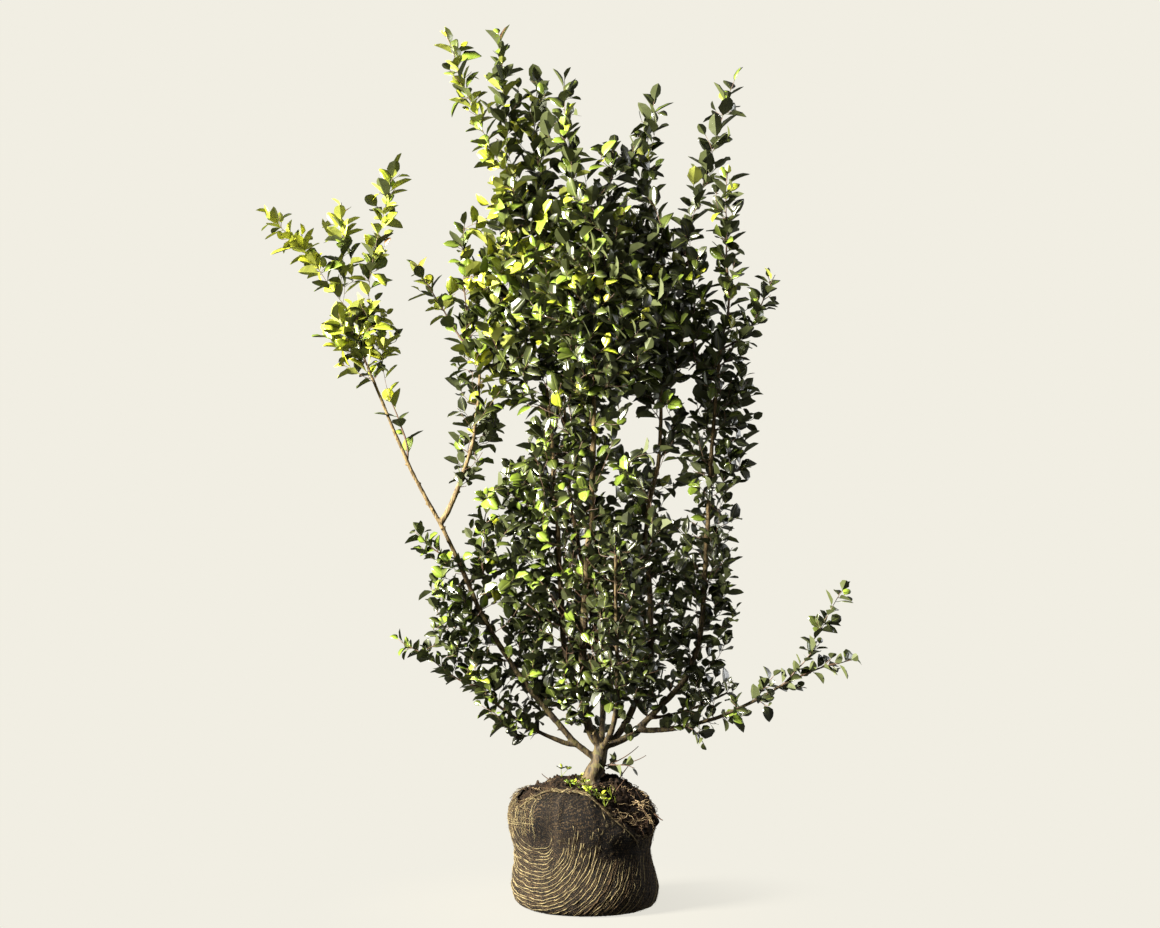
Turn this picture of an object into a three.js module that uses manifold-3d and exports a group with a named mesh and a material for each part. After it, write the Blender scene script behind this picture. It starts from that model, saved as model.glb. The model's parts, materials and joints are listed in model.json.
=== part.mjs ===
// A young evergreen shrub with small leathery leaves, lifted with its root ball.
// The soil is held by a cup of jute cloth. One short trunk forks low into boughs, and the foliage is
// a set of closed, uneven masses that follow the shoots. The camera side is -Y, up is +Z, millimetres.
import * as THREE from 'three';
import { mergeVertices } from 'three/addons/utils/BufferGeometryUtils.js';
import Module from 'manifold-3d';

const wasm = await Module();
wasm.setup();
const { smoothstep, lerp, clamp, radToDeg, degToRad, euclideanModulo } = THREE.MathUtils;

// ---------------------------------------------------------------- driving dimensions
const GAP = 0.35; // clearance between a limb or the soil and what sits on it
const LEAF_GAP = 0.7; // clearance round a limb or a mass where foliage is cut to it
const SOIL_TOP = 206; // height of the soil at the trunk's foot
const CLOTH = 3; // thickness of the jute wrap
const BALL_SIDES = 18; // facets round the root ball
const LIMB_SIDES = 6;
const LIMB_STEP = 66; // length of one facet along a limb
const LIMB_LEAST_STEPS = 4;
const MASS_SIDES = 8;
const MASS_RINGS = { least: 5, most: 7, more: 3 }; // facets along a mass: its slenderness and some more
const SHOOT_SIDES = 6;
const SHOOT_WIDTH = 40; // masses narrower than this are shoots, with fewer facets
const BLUNT = 0.62; // how full a mass stays towards its ends: 1 is an ellipsoid, 0 a cylinder
const WELD = 0.001; // corners nearer than this are one corner

// ---------------------------------------------------------------- materials
const finish = (color, roughness) => new THREE.MeshStandardMaterial({ color, roughness, metalness: 0 });
const SOIL = finish('#3a2c20', 0.95);
const JUTE = finish('#7b6a4a', 0.9);
const BARK = finish('#7c6f4c', 0.8);
const LEAF = finish('#3f6420', 0.45);
const LEAF_LIT = finish('#7fa32a', 0.45);

// ---------------------------------------------------------------- solids
// A closed three.js geometry as a solid: shared corners are merged and collapsed triangles dropped.
function solidOf(geometry) {
  const bare = geometry.clone();
  bare.deleteAttribute('normal');
  bare.deleteAttribute('uv');
  const merged = mergeVertices(bare, WELD);
  const corners = merged.index.array;
  const kept = [];
  for (let i = 0; i < corners.length; i += 3) {
    const [a, b, c] = corners.slice(i, i + 3);
    if (a !== b && b !== c && c !== a) kept.push(a, b, c);
  }
  const vertProperties = merged.attributes.position.array;
  const triVerts = new Uint32Array(kept);
  return new wasm.Manifold(new wasm.Mesh({ numProp: 3, vertProperties, triVerts }));
}

// The triangles of a mesh that belong to its largest connected piece, by triangle count.
function largestPiece(triVerts, vertexCount) {
  const group = Array.from({ length: vertexCount }, (_, i) => i);
  const root = (i) => {
    while (group[i] !== i) {
      group[i] = group[group[i]];
      i = group[i];
    }
    return i;
  };
  for (let i = 0; i < triVerts.length; i += 3) {
    group[root(triVerts[i])] = root(triVerts[i + 1]);
    group[root(triVerts[i + 1])] = root(triVerts[i + 2]);
  }
  const counts = new Map();
  for (const v of triVerts) counts.set(root(v), (counts.get(root(v)) ?? 0) + 1);
  const largest = [...counts].sort((a, b) => b[1] - a[1])[0][0];
  const kept = [];
  for (let i = 0; i < triVerts.length; i += 3) {
    if (root(triVerts[i]) === largest) kept.push(triVerts[i], triVerts[i + 1], triVerts[i + 2]);
  }
  return kept;
}

function geometryOf(solid) {
  const { vertProperties, triVerts, numVert } = solid.getMesh();
  const geometry = new THREE.BufferGeometry();
  geometry.setAttribute('position', new THREE.BufferAttribute(new Float32Array(vertProperties), 3));
  geometry.setIndex(largestPiece(triVerts, numVert));
  geometry.computeVertexNormals();
  return geometry;
}

const boxOf = (geometry) => new THREE.Box3().setFromBufferAttribute(geometry.attributes.position);

// ---------------------------------------------------------------- root ball and wrap
// The skin of the wrapped ball, one point for each row of facets: radius and height from the middle
// of the underside, out over the bottom corner, in at the waist, out at the bulge and over the
// shoulder to the trunk's foot.
const SKIN = [
  [0, 0], [112, 0], [124, 7], [128, 29], [122, 66], [117, 104], [126, 150], [125, 172],
  [113, 191], [88, 202], [52, SOIL_TOP + CLOTH], [0, SOIL_TOP + CLOTH],
];
const BALL_ROWS = SKIN.length - 1;
const SEAT_ROWS = 1; // the underside is dead flat out to the end of this row
const LEAN = { from: 4, to: -6, by: 110 }; // the ball's middle drifts to the left on the way up
const LOBES = [{ times: 2, turn: 0.6, swell: 0.022 }, { times: 5, turn: -1, swell: 0.012 }];
const LOBES_FROM = 60; // height by which the side has its full lobes; the underside is round
// soil washed out of the right front shoulder: its direction, and the heights and radii it fades over
const HOLLOW = { at: -42, spread: 30, depth: 52, heights: [110, 190], radii: [52, 112] };
const CLOTH_EDGE = { usual: 9, fullest: 245, more: 0.7, lowest: -14, spread: 40, less: 3.2 }; // in rows
const EDGE_PART = [0.25, 0.55]; // least part of a row above the cloth's last full row, and what is added

const bell = (angle, at, spread) => {
  const off = euclideanModulo(radToDeg(angle) - at + 180, 360) - 180;
  return Math.exp(-((off / spread) ** 2));
};

// A corner of the skin's facets at one row and angle, moved in from the surface by an inset.
function skinPoint(row, angle, inset) {
  const [out, up] = SKIN[row];
  const [before, after] = [SKIN[Math.max(0, row - 1)], SKIN[Math.min(BALL_ROWS, row + 1)]];
  const way = new THREE.Vector2(after[0] - before[0], after[1] - before[1]).normalize();
  const flat = row <= SEAT_ROWS || row >= BALL_ROWS;
  const lobes = LOBES.reduce((sum, lobe) => sum + lobe.swell * Math.cos(lobe.times * angle + lobe.turn), 0);
  const radius = Math.max(0, out * (1 + smoothstep(up, 0, LOBES_FROM) * lobes) - inset * way.y);
  const shoulder = smoothstep(up, ...HOLLOW.heights) * smoothstep(out, ...HOLLOW.radii);
  const sunk = shoulder * bell(angle, HOLLOW.at, HOLLOW.spread);
  const height = up + inset * (flat ? Math.sign(way.x) : way.x) - HOLLOW.depth * sunk;
  const shift = lerp(LEAN.from, LEAN.to, Math.min(1, up / LEAN.by));
  return [radius * Math.cos(angle) + shift, radius * Math.sin(angle), height];
}

// How many rows up the skin the cloth reaches: over the shoulder in front, low beside the hollow.
// Its edge keeps clear of the rows themselves, so that no facet there is a sliver.
function clothReach(angle) {
  const { usual, fullest, more, lowest, spread, less } = CLOTH_EDGE;
  const rows = usual + more * Math.cos(angle - degToRad(fullest)) - less * bell(angle, lowest, spread);
  return Math.floor(rows) + EDGE_PART[0] + EDGE_PART[1] * (rows % 1);
}

// A place on the facets of the skin, part of the way from one row to the next.
function rowPoint(row, angle, inset) {
  const below = skinPoint(Math.floor(row), angle, inset);
  const above = skinPoint(Math.ceil(row), angle, inset);
  return below.map((value, axis) => lerp(value, above[axis], row % 1));
}

// A lathe whose points are then placed one by one: place(row, angle) gives each one's position.
function turned(rows, place) {
  const blank = Array.from({ length: rows + 1 }, (_, row) => new THREE.Vector2(1, row));
  const lathe = new THREE.LatheGeometry(blank, BALL_SIDES);
  const position = lathe.attributes.position;
  for (let i = 0; i < position.count; i += 1) {
    const side = Math.floor(i / (rows + 1)) % BALL_SIDES;
    const angle = (2 * Math.PI * side) / BALL_SIDES;
    position.setXYZ(i, ...place(i % (rows + 1), angle));
  }
  return lathe;
}

const soilBall = (inset) => turned(BALL_ROWS, (row, angle) => rowPoint(row, angle, inset));

// A cup out along the skin to its edge and back deeper inside, hollowed by the soil that it holds.
function juteWrap() {
  const cup = turned(2 * BALL_ROWS + 1, (row, angle) => {
    const inside = row > BALL_ROWS;
    const step = inside ? 2 * BALL_ROWS + 1 - row : row;
    return rowPoint(Math.min(step, clothReach(angle)), angle, inside ? 2 * CLOTH : 0);
  });
  return solidOf(cup).subtract(solidOf(soilBall(CLOTH)));
}

// ---------------------------------------------------------------- limbs
// Each limb is one tapering stem: the points it passes, its diameters at foot and tip, and how much
// it swells where it leaves its parent.
const TRUNK = {
  name: 'trunk', foot: 27, tip: 25, flare: 0.38,
  route: [[6, 0, SOIL_TOP], [6, 0, 212], [15, -2, 225], [24, -3, 239], [28, -4, 256], [29, -4, 268]],
};
const BOUGHS = [
  {
    name: 'bough_left', foot: 18, tip: 7, flare: 0.25,
    route: [
      [18, -4, 246], [-32, -10, 293], [-107, -16, 386], [-170, -22, 488],
      [-241, -30, 648], [-286, -34, 722], [-343, -38, 859], [-366, -41, 915],
    ],
  },
  {
    name: 'bough_centre', foot: 17, tip: 8, flare: 0.2,
    route: [
      [24, -5, 256], [9, -11, 300], [-3, -15, 350], [-2, -19, 420],
      [1, -23, 534], [11, -24, 670], [15, -24, 860],
    ],
  },
  {
    name: 'bough_right', foot: 14, tip: 6, flare: 0.2,
    route: [
      [34, -6, 254], [62, -14, 276], [114, -24, 326], [163, -24, 377],
      [188, -20, 415], [203, -14, 560], [213, -10, 740], [232, -5, 960],
    ],
  },
  {
    name: 'bough_right_inner', foot: 13, tip: 6, flare: 0.2,
    route: [
      [26, 4, 252], [61, 16, 288], [84, 24, 338], [114, 34, 417],
      [111, 38, 530], [103, 40, 650], [127, 42, 746], [131, 42, 880],
    ],
  },
  {
    name: 'bough_front', foot: 11, tip: 5, flare: 0.2,
    route: [
      [28, -8, 258], [42, -34, 290], [52, -66, 338], [54, -92, 410], [52, -112, 510], [52, -118, 600],
    ],
  },
  {
    name: 'bough_back', foot: 12, tip: 5, flare: 0.2,
    route: [[28, 4, 256], [32, 56, 320], [24, 100, 420], [0, 128, 560], [-32, 140, 740], [-34, 138, 900]],
  },
  {
    name: 'bough_mid_left', foot: 9, tip: 5, flare: 0.25,
    route: [[-241, -30, 647], [-221, -27, 687], [-202, -20, 739], [-184, -12, 820], [-178, -6, 915]],
  },
  {
    name: 'bough_centre_left', foot: 12, tip: 6, flare: 0.25,
    route: [[-3, -15, 344], [-22, 8, 376], [-35, 26, 430], [-44, 36, 600], [-56, 38, 780], [-66, 36, 880]],
  },
  {
    name: 'branch_left_low', foot: 8, tip: 4, flare: 0.25,
    route: [[-12, -7, 269], [-87, -20, 299], [-148, -28, 343], [-190, -32, 386]],
  },
  {
    name: 'branch_right_low', foot: 9, tip: 4.5, flare: 0.25,
    route: [[84, -19, 297], [150, -50, 305], [243, -62, 332], [318, -66, 372], [352, -66, 391]],
  },
  {
    name: 'branch_right_second', foot: 6, tip: 4, flare: 0.25,
    route: [[108, -23, 320], [150, -40, 328], [203, -46, 347], [240, -46, 366]],
  },
];

// The directions at one place on a path: 'along' it, 'side' across the crown as seen from the front,
// and 'deep' away from the viewer, all square to each other.
function across(path, share) {
  const along = path.getTangentAt(share);
  const deep = new THREE.Vector3(0, 1, 0).addScaledVector(along, -along.y).normalize();
  const side = new THREE.Vector3().crossVectors(along, deep);
  return { along, side, deep };
}

function pathOf(route) {
  return new THREE.CatmullRomCurve3(route.map((p) => new THREE.Vector3(...p)), false, 'centripetal');
}

// A cylinder bent along the limb's route. 'extra' makes the same limb thicker and longer all round.
function limb({ route, foot, tip, flare }, extra = 0) {
  const path = pathOf(route);
  const steps = Math.max(LIMB_LEAST_STEPS, Math.round(path.getLength() / LIMB_STEP));
  const tube = new THREE.CylinderGeometry(1, 1, 1, LIMB_SIDES, steps);
  const position = tube.attributes.position;
  for (let i = 0; i < position.count; i += 1) {
    const share = clamp(position.getY(i) + 0.5, 0, 1);
    const { along, side, deep } = across(path, share);
    const swell = 1 + flare * Math.exp((-share * path.getLength()) / foot);
    const radius = (lerp(foot, tip, share) / 2) * swell + extra;
    const place = path.getPointAt(share)
      .addScaledVector(side, position.getX(i) * radius)
      .addScaledVector(deep, position.getZ(i) * radius)
      .addScaledVector(along, (2 * share - 1) * extra);
    position.setXYZ(i, place.x, place.y, place.z);
  }
  return tube;
}

// ---------------------------------------------------------------- foliage
// Each mass follows a shoot from its foot to its tip, with a half width across the crown and a half
// depth. 'foot' is how wide it starts, as a share of its full width, and a mass that is 'lit' carries
// the yellower leaves of the sunny side.
const WAVES = [
  { swell: 0.12, round: 2, along: 5, turn: 1.7 },
  { swell: 0.1, round: 3, along: -9, turn: 2.9 },
  { swell: 0.09, round: 1, along: 14, turn: 0.9 },
];
const FOOT_REACH = 0.45; // share of its length over which a narrow foot widens
const MASSES = [
  // round the low boughs
  {
    name: 'leaves_low_centre', spine: [[-12, -40, 306], [-6, -48, 500], [0, -46, 712]],
    wide: 56, deep: 42,
  },
  {
    name: 'leaves_low_left_inner', spine: [[-86, 14, 302], [-92, 30, 540], [-104, 32, 765]],
    wide: 52, deep: 50,
  },
  {
    name: 'leaves_low_left', spine: [[-152, -24, 345], [-202, -26, 470], [-230, -30, 600]],
    wide: 50, deep: 46,
  },
  {
    name: 'leaves_low_front', spine: [[44, -100, 345], [54, -120, 500], [52, -122, 660]],
    wide: 60, deep: 40,
  },
  { name: 'leaves_low_back', spine: [[30, 112, 360], [16, 134, 520], [4, 138, 690]], wide: 80, deep: 46 },
  {
    name: 'leaves_low_right_inner', spine: [[102, 28, 330], [110, 40, 520], [86, 42, 770]],
    wide: 50, deep: 46,
  },
  {
    name: 'leaves_low_right', spine: [[178, -18, 340], [200, -16, 500], [220, -10, 722]],
    wide: 51, deep: 48,
  },
  // along the low side branches
  {
    name: 'leaves_left_tip', spine: [[-196, -28, 380], [-248, -28, 414], [-320, -26, 456]],
    wide: 22, deep: 20,
  },
  {
    name: 'leaves_left_branch', spine: [[-78, -18, 286], [-128, -24, 318], [-178, -30, 356]],
    wide: 26, deep: 24,
  },
  {
    name: 'leaves_left_outer', spine: [[-236, -30, 584], [-262, -32, 610], [-286, -30, 640]],
    wide: 25, deep: 24,
  },
  {
    name: 'leaves_left_inner', spine: [[-180, -16, 504], [-172, -8, 620], [-164, -4, 702]],
    wide: 32, deep: 30,
  },
  {
    name: 'leaves_right_second', spine: [[128, -34, 318], [190, -48, 338], [262, -48, 384]],
    wide: 27, deep: 28,
  },
  {
    name: 'leaves_right_drop', spine: [[178, -56, 320], [192, -62, 302], [196, -64, 276]],
    wide: 15, deep: 14,
  },
  {
    name: 'leaves_right_pair', spine: [[288, -64, 344], [298, -66, 372], [320, -64, 404]],
    wide: 15, deep: 15,
  },
  {
    name: 'leaves_right_fork', spine: [[324, -66, 370], [358, -66, 408], [392, -64, 454]],
    wide: 27, deep: 25,
  },
  {
    name: 'leaves_right_tip_up', spine: [[376, -64, 446], [406, -62, 496], [438, -58, 549]],
    wide: 23, deep: 22,
  },
  {
    name: 'leaves_right_tip_out', spine: [[386, -66, 410], [420, -66, 418], [458, -64, 424]],
    wide: 19, deep: 18,
  },
  {
    name: 'leaves_trunk_twig', spine: [[28, -12, 236], [60, -20, 246], [86, -22, 232]],
    wide: 15, deep: 15,
  },
  // half way up
  {
    name: 'leaves_left_stem', spine: [[-290, -34, 760], [-312, -36, 820], [-336, -38, 882]],
    wide: 17, deep: 17,
  },
  {
    name: 'leaves_mid_left', spine: [[-210, -24, 704], [-188, -10, 830], [-196, 0, 985]],
    wide: 35, deep: 35,
  },
  {
    name: 'leaves_mid_centre', spine: [[-24, -14, 672], [-18, -10, 790], [-24, -6, 880]],
    wide: 66, deep: 52,
  },
  {
    name: 'leaves_mid_back', spine: [[-26, 130, 676], [-40, 140, 790], [-36, 136, 880]],
    wide: 54, deep: 44,
  },
  {
    name: 'leaves_mid_right', spine: [[214, -8, 690], [232, -4, 870], [240, 0, 1010]],
    wide: 55, deep: 50,
  },
  {
    name: 'leaves_mid_inner', spine: [[131, 44, 762], [150, 44, 806], [160, 40, 850]],
    wide: 16, deep: 16,
  },
  // the dense upper crown
  {
    name: 'leaves_upper_centre', spine: [[4, -26, 836], [0, -34, 990], [-14, -26, 1220]],
    wide: 68, deep: 58,
  },
  {
    name: 'leaves_upper_left', spine: [[-104, 26, 840], [-114, 14, 1000], [-130, 0, 1266]],
    wide: 70, deep: 60,
  },
  {
    name: 'leaves_upper_right', spine: [[118, 36, 846], [112, 36, 1000], [84, 22, 1200]],
    wide: 62, deep: 58,
  },
  {
    name: 'leaves_upper_back', spine: [[-20, 138, 860], [10, 146, 960], [10, 126, 1130]],
    wide: 118, deep: 52,
  },
  {
    name: 'leaves_upper_front', spine: [[50, -112, 868], [36, -124, 960], [16, -104, 1120]],
    wide: 92, deep: 42,
  },
  {
    name: 'leaves_upper_gap', spine: [[190, -8, 905], [188, 0, 1010], [170, 6, 1126]],
    wide: 34, deep: 44,
  },
  {
    name: 'leaves_right_top', spine: [[248, -2, 992], [241, -10, 1108], [241, -30, 1250]],
    wide: 31, deep: 30,
  },
  {
    name: 'leaves_right_outer', spine: [[274, 0, 962], [298, 2, 1014], [322, 4, 1078]],
    wide: 23, deep: 23,
  },
  // single shoots that stand out of the crown
  {
    name: 'shoot_top_left', spine: [[-130, -6, 1236], [-168, -16, 1300], [-234, -44, 1476]],
    wide: 27, deep: 27,
  },
  {
    name: 'shoot_top', spine: [[-126, 20, 1230], [-139, 44, 1380], [-149, 66, 1506]],
    wide: 27, deep: 27,
  },
  {
    name: 'shoot_top_centre_left', spine: [[-86, 14, 1192], [-90, 22, 1300], [-76, 44, 1426]],
    wide: 33, deep: 30,
  },
  {
    name: 'shoot_top_centre', spine: [[-14, -22, 1200], [-31, -40, 1308], [-33, -64, 1406]],
    wide: 29, deep: 29,
  },
  {
    name: 'shoot_top_inner', spine: [[40, 0, 1168], [44, -14, 1230], [44, -32, 1296]],
    wide: 36, deep: 31,
  },
  {
    name: 'shoot_top_right_inner', spine: [[90, 26, 1174], [103, 40, 1284], [122, 62, 1392]],
    wide: 25, deep: 25,
  },
  {
    name: 'shoot_top_right', spine: [[158, 12, 1098], [194, 20, 1200], [262, 46, 1434]],
    wide: 28, deep: 27, foot: 0.5,
  },
  {
    name: 'shoots_left_body', spine: [[-354, -41, 880], [-372, -42, 950], [-388, -42, 1034]],
    wide: 61, deep: 40, foot: 0.35, lit: true,
  },
  {
    name: 'shoot_left_out', spine: [[-410, -44, 1020], [-478, -46, 1118], [-542, -48, 1176]],
    wide: 26, deep: 26, lit: true,
  },
  {
    name: 'shoot_left_up', spine: [[-402, -36, 1030], [-412, -20, 1120], [-411, -6, 1200]],
    wide: 29, deep: 26, lit: true,
  },
  {
    name: 'shoot_left_in', spine: [[-370, -38, 1010], [-355, -50, 1100], [-313, -62, 1260]],
    wide: 27, deep: 27, lit: true,
  },
  {
    name: 'shoot_mid_left_out', spine: [[-214, 0, 966], [-256, 12, 1036], [-295, 24, 1100]],
    wide: 25, deep: 25, lit: true,
  },
  {
    name: 'shoot_mid_left_up', spine: [[-194, 2, 970], [-203, -8, 1060], [-204, -18, 1164]],
    wide: 29, deep: 27, lit: true,
  },
];

// How far the surface swells or sinks in one direction round a mass, at one place along it.
function uneven(angle, share, seed) {
  const phase = (wave) => wave.round * angle + wave.along * share + wave.turn * seed;
  return WAVES.reduce((sum, wave) => sum + wave.swell * Math.sin(phase(wave)), 1);
}

// A sphere drawn out along the mass's spine. 'extra' grows it all round, for cutting its neighbours.
function mass({ spine, wide, deep, foot = 1, seed }, extra = 0) {
  const path = pathOf(spine);
  const sides = wide < SHOOT_WIDTH ? SHOOT_SIDES : MASS_SIDES;
  const rings = Math.round(path.getLength() / wide) + MASS_RINGS.more;
  const ball = new THREE.SphereGeometry(1, sides, clamp(rings, MASS_RINGS.least, MASS_RINGS.most));
  const position = ball.attributes.position;
  for (let i = 0; i < position.count; i += 1) {
    const y = position.getY(i);
    const fuller = Math.max(WELD ** 2, 1 - y * y) ** ((BLUNT - 1) / 2);
    const [x, z] = [position.getX(i) * fuller, position.getZ(i) * fuller];
    const share = clamp((1 + y) / 2, 0, 1);
    const { along, side, deep: depthWay } = across(path, share);
    const narrow = lerp(foot, 1, smoothstep(share, 0, FOOT_REACH));
    const swell = narrow * uneven(Math.atan2(z, x), share, seed);
    const place = path.getPointAt(share)
      .addScaledVector(side, x * (wide * swell + extra))
      .addScaledVector(depthWay, z * (deep * swell + extra))
      .addScaledVector(along, y * extra);
    position.setXYZ(i, place.x, place.y, place.z);
  }
  return ball;
}

// ---------------------------------------------------------------- assembly
const shrub = new THREE.Group();
const placed = []; // what later pieces are cut round: each one's box, and how to make it larger

function add(name, geometry, material) {
  const mesh = new THREE.Mesh(geometry, material);
  mesh.name = name;
  shrub.add(mesh);
}

// Adds a piece after cutting it round the pieces already placed that it comes near.
function addFitted(name, make, room, material) {
  const own = make(0);
  const box = boxOf(own);
  let solid = solidOf(own);
  for (const other of placed) {
    if (other.box.intersectsBox(box)) solid = solid.subtract(solidOf(other.make(room)));
  }
  add(name, geometryOf(solid), material);
  placed.push({ box: boxOf(make(LEAF_GAP)), make });
}

add('root_ball_soil', geometryOf(solidOf(soilBall(CLOTH + GAP))), SOIL);
add('jute_wrap', geometryOf(juteWrap()), JUTE);
for (const stem of [TRUNK, ...BOUGHS]) {
  addFitted(stem.name, (extra) => limb(stem, extra), GAP, BARK);
}
MASSES.forEach((shape, index) => {
  const seeded = { ...shape, seed: index + 1 };
  addFitted(shape.name, (extra) => mass(seeded, extra), LEAF_GAP, shape.lit ? LEAF_LIT : LEAF);
});

export default shrub;
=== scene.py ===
# %% [markdown]
# # A young evergreen shrub, lifted with its root ball
# The CAD model holds the sizes: trunk, boughs, a set of closed foliage masses, the soil and the jute
# wrap round it. Here each of them gets its looks. The wood becomes one skin with bark, the masses
# become real twigs and leaves, and the ball becomes crumbly soil in a coarse cloth. Everything is
# placed from the CAD nodes, so nothing has to be fitted by hand.

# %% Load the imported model
import json
import bpy
import numpy as np
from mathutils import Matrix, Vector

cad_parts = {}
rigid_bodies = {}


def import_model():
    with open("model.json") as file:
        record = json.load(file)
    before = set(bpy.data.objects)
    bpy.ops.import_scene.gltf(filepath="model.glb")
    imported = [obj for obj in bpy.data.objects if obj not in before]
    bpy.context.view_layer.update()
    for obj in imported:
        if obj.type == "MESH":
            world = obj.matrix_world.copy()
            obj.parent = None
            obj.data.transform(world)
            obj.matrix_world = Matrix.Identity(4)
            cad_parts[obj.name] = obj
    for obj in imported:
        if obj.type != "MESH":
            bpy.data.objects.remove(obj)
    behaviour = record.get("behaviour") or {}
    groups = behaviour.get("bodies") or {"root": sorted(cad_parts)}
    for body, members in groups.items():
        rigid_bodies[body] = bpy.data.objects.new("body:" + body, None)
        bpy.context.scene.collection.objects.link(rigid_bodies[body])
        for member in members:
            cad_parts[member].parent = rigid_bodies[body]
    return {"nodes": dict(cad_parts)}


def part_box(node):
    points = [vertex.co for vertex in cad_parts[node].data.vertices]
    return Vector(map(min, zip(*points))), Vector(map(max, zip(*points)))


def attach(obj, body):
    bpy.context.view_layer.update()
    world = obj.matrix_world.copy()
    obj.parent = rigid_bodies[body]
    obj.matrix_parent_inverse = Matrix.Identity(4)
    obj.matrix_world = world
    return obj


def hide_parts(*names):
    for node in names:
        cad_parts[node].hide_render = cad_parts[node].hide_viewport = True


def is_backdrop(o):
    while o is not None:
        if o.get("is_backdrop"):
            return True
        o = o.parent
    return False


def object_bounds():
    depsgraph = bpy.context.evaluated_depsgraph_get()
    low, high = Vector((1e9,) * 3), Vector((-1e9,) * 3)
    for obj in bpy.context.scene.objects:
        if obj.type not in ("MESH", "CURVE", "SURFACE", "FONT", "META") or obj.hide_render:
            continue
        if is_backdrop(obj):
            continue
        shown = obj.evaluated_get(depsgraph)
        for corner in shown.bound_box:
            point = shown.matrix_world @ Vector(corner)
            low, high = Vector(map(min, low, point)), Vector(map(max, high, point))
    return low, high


for leftover in list(bpy.data.objects):
    bpy.data.objects.remove(leftover)
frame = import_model()
CAD_BOX = [list(corner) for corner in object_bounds()]
WOOD = [name for name in frame["nodes"] if name.startswith(("trunk", "bough", "branch"))]
MASSES = sorted(name for name in frame["nodes"] if name.startswith(("leaves", "shoot")))
MM = 0.001
SEED = 11
print(f"CAD box {np.round(CAD_BOX, 3).tolist()}, {len(WOOD)} limbs, {len(MASSES)} masses of foliage")

# %% [markdown]
# ## Camera
# The plant stands about four metres off, seen level from half its height, so a long lens keeps its
# upright shoots from leaning. The lens follows from the width of the view at the trunk.

# %% Camera
SCENE = bpy.context.scene
EYE = np.array([-0.008, -4.0, 0.75])
VIEW_WIDTH = 1.972  # metres across the picture at the trunk
camera = bpy.data.objects.new("camera", bpy.data.cameras.new("camera"))
SCENE.collection.objects.link(camera)
camera.location = EYE
camera.rotation_euler = (np.pi / 2, 0, 0)
camera.data.lens = camera.data.sensor_width * -EYE[1] / VIEW_WIDTH
SCENE.camera = camera
print(f"lens {camera.data.lens:.1f} mm")

# %% [markdown]
# ## Shader maths as Python
# A node tree is quicker to read as a formula. `Value` wraps the output of a node, and an expression
# on values adds the Math nodes that it needs. Every other node comes from `Finish.add`, which takes
# the node's settings first and then what goes into its sockets.

# %% A finish and the values that vary over it
def tint(code):
    """A colour from its web code, in the linear values that shaders use: each part p of the code is
    ((p + 0.055) / 1.055) ^ 2.4."""
    parts = np.array([int(code[i:i + 2], 16) for i in (1, 3, 5)]) / 255
    return (*((parts + 0.055) / 1.055) ** 2.4, 1.0)


class Value:
    """A socket whose number or colour varies over a surface."""

    def __init__(self, finish, socket):
        self.finish = finish
        self.socket = socket

    def _maths(self, operation, *terms):
        """A Math node with these terms."""
        return self.finish.add("ShaderNodeMath", {"operation": operation}, dict(enumerate(terms)))

    def __add__(self, other):
        return self._maths("ADD", self, other)

    def __mul__(self, other):
        return self._maths("MULTIPLY", self, other)

    __radd__ = __add__
    __rmul__ = __mul__

    def wave(self, turns):
        """A smooth wave between 0 and 1, with this many turns for each unit of the value."""
        return self._maths("SINE", self * (2 * np.pi * turns)) * 0.5 + 0.5

    def between(self, low, high):
        """0 below low, 1 above high, and a smooth step between them."""
        limits = {"Value": self, "From Min": low, "From Max": high}
        return self.finish.add("ShaderNodeMapRange", {"interpolation_type": "SMOOTHSTEP"}, limits)


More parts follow.
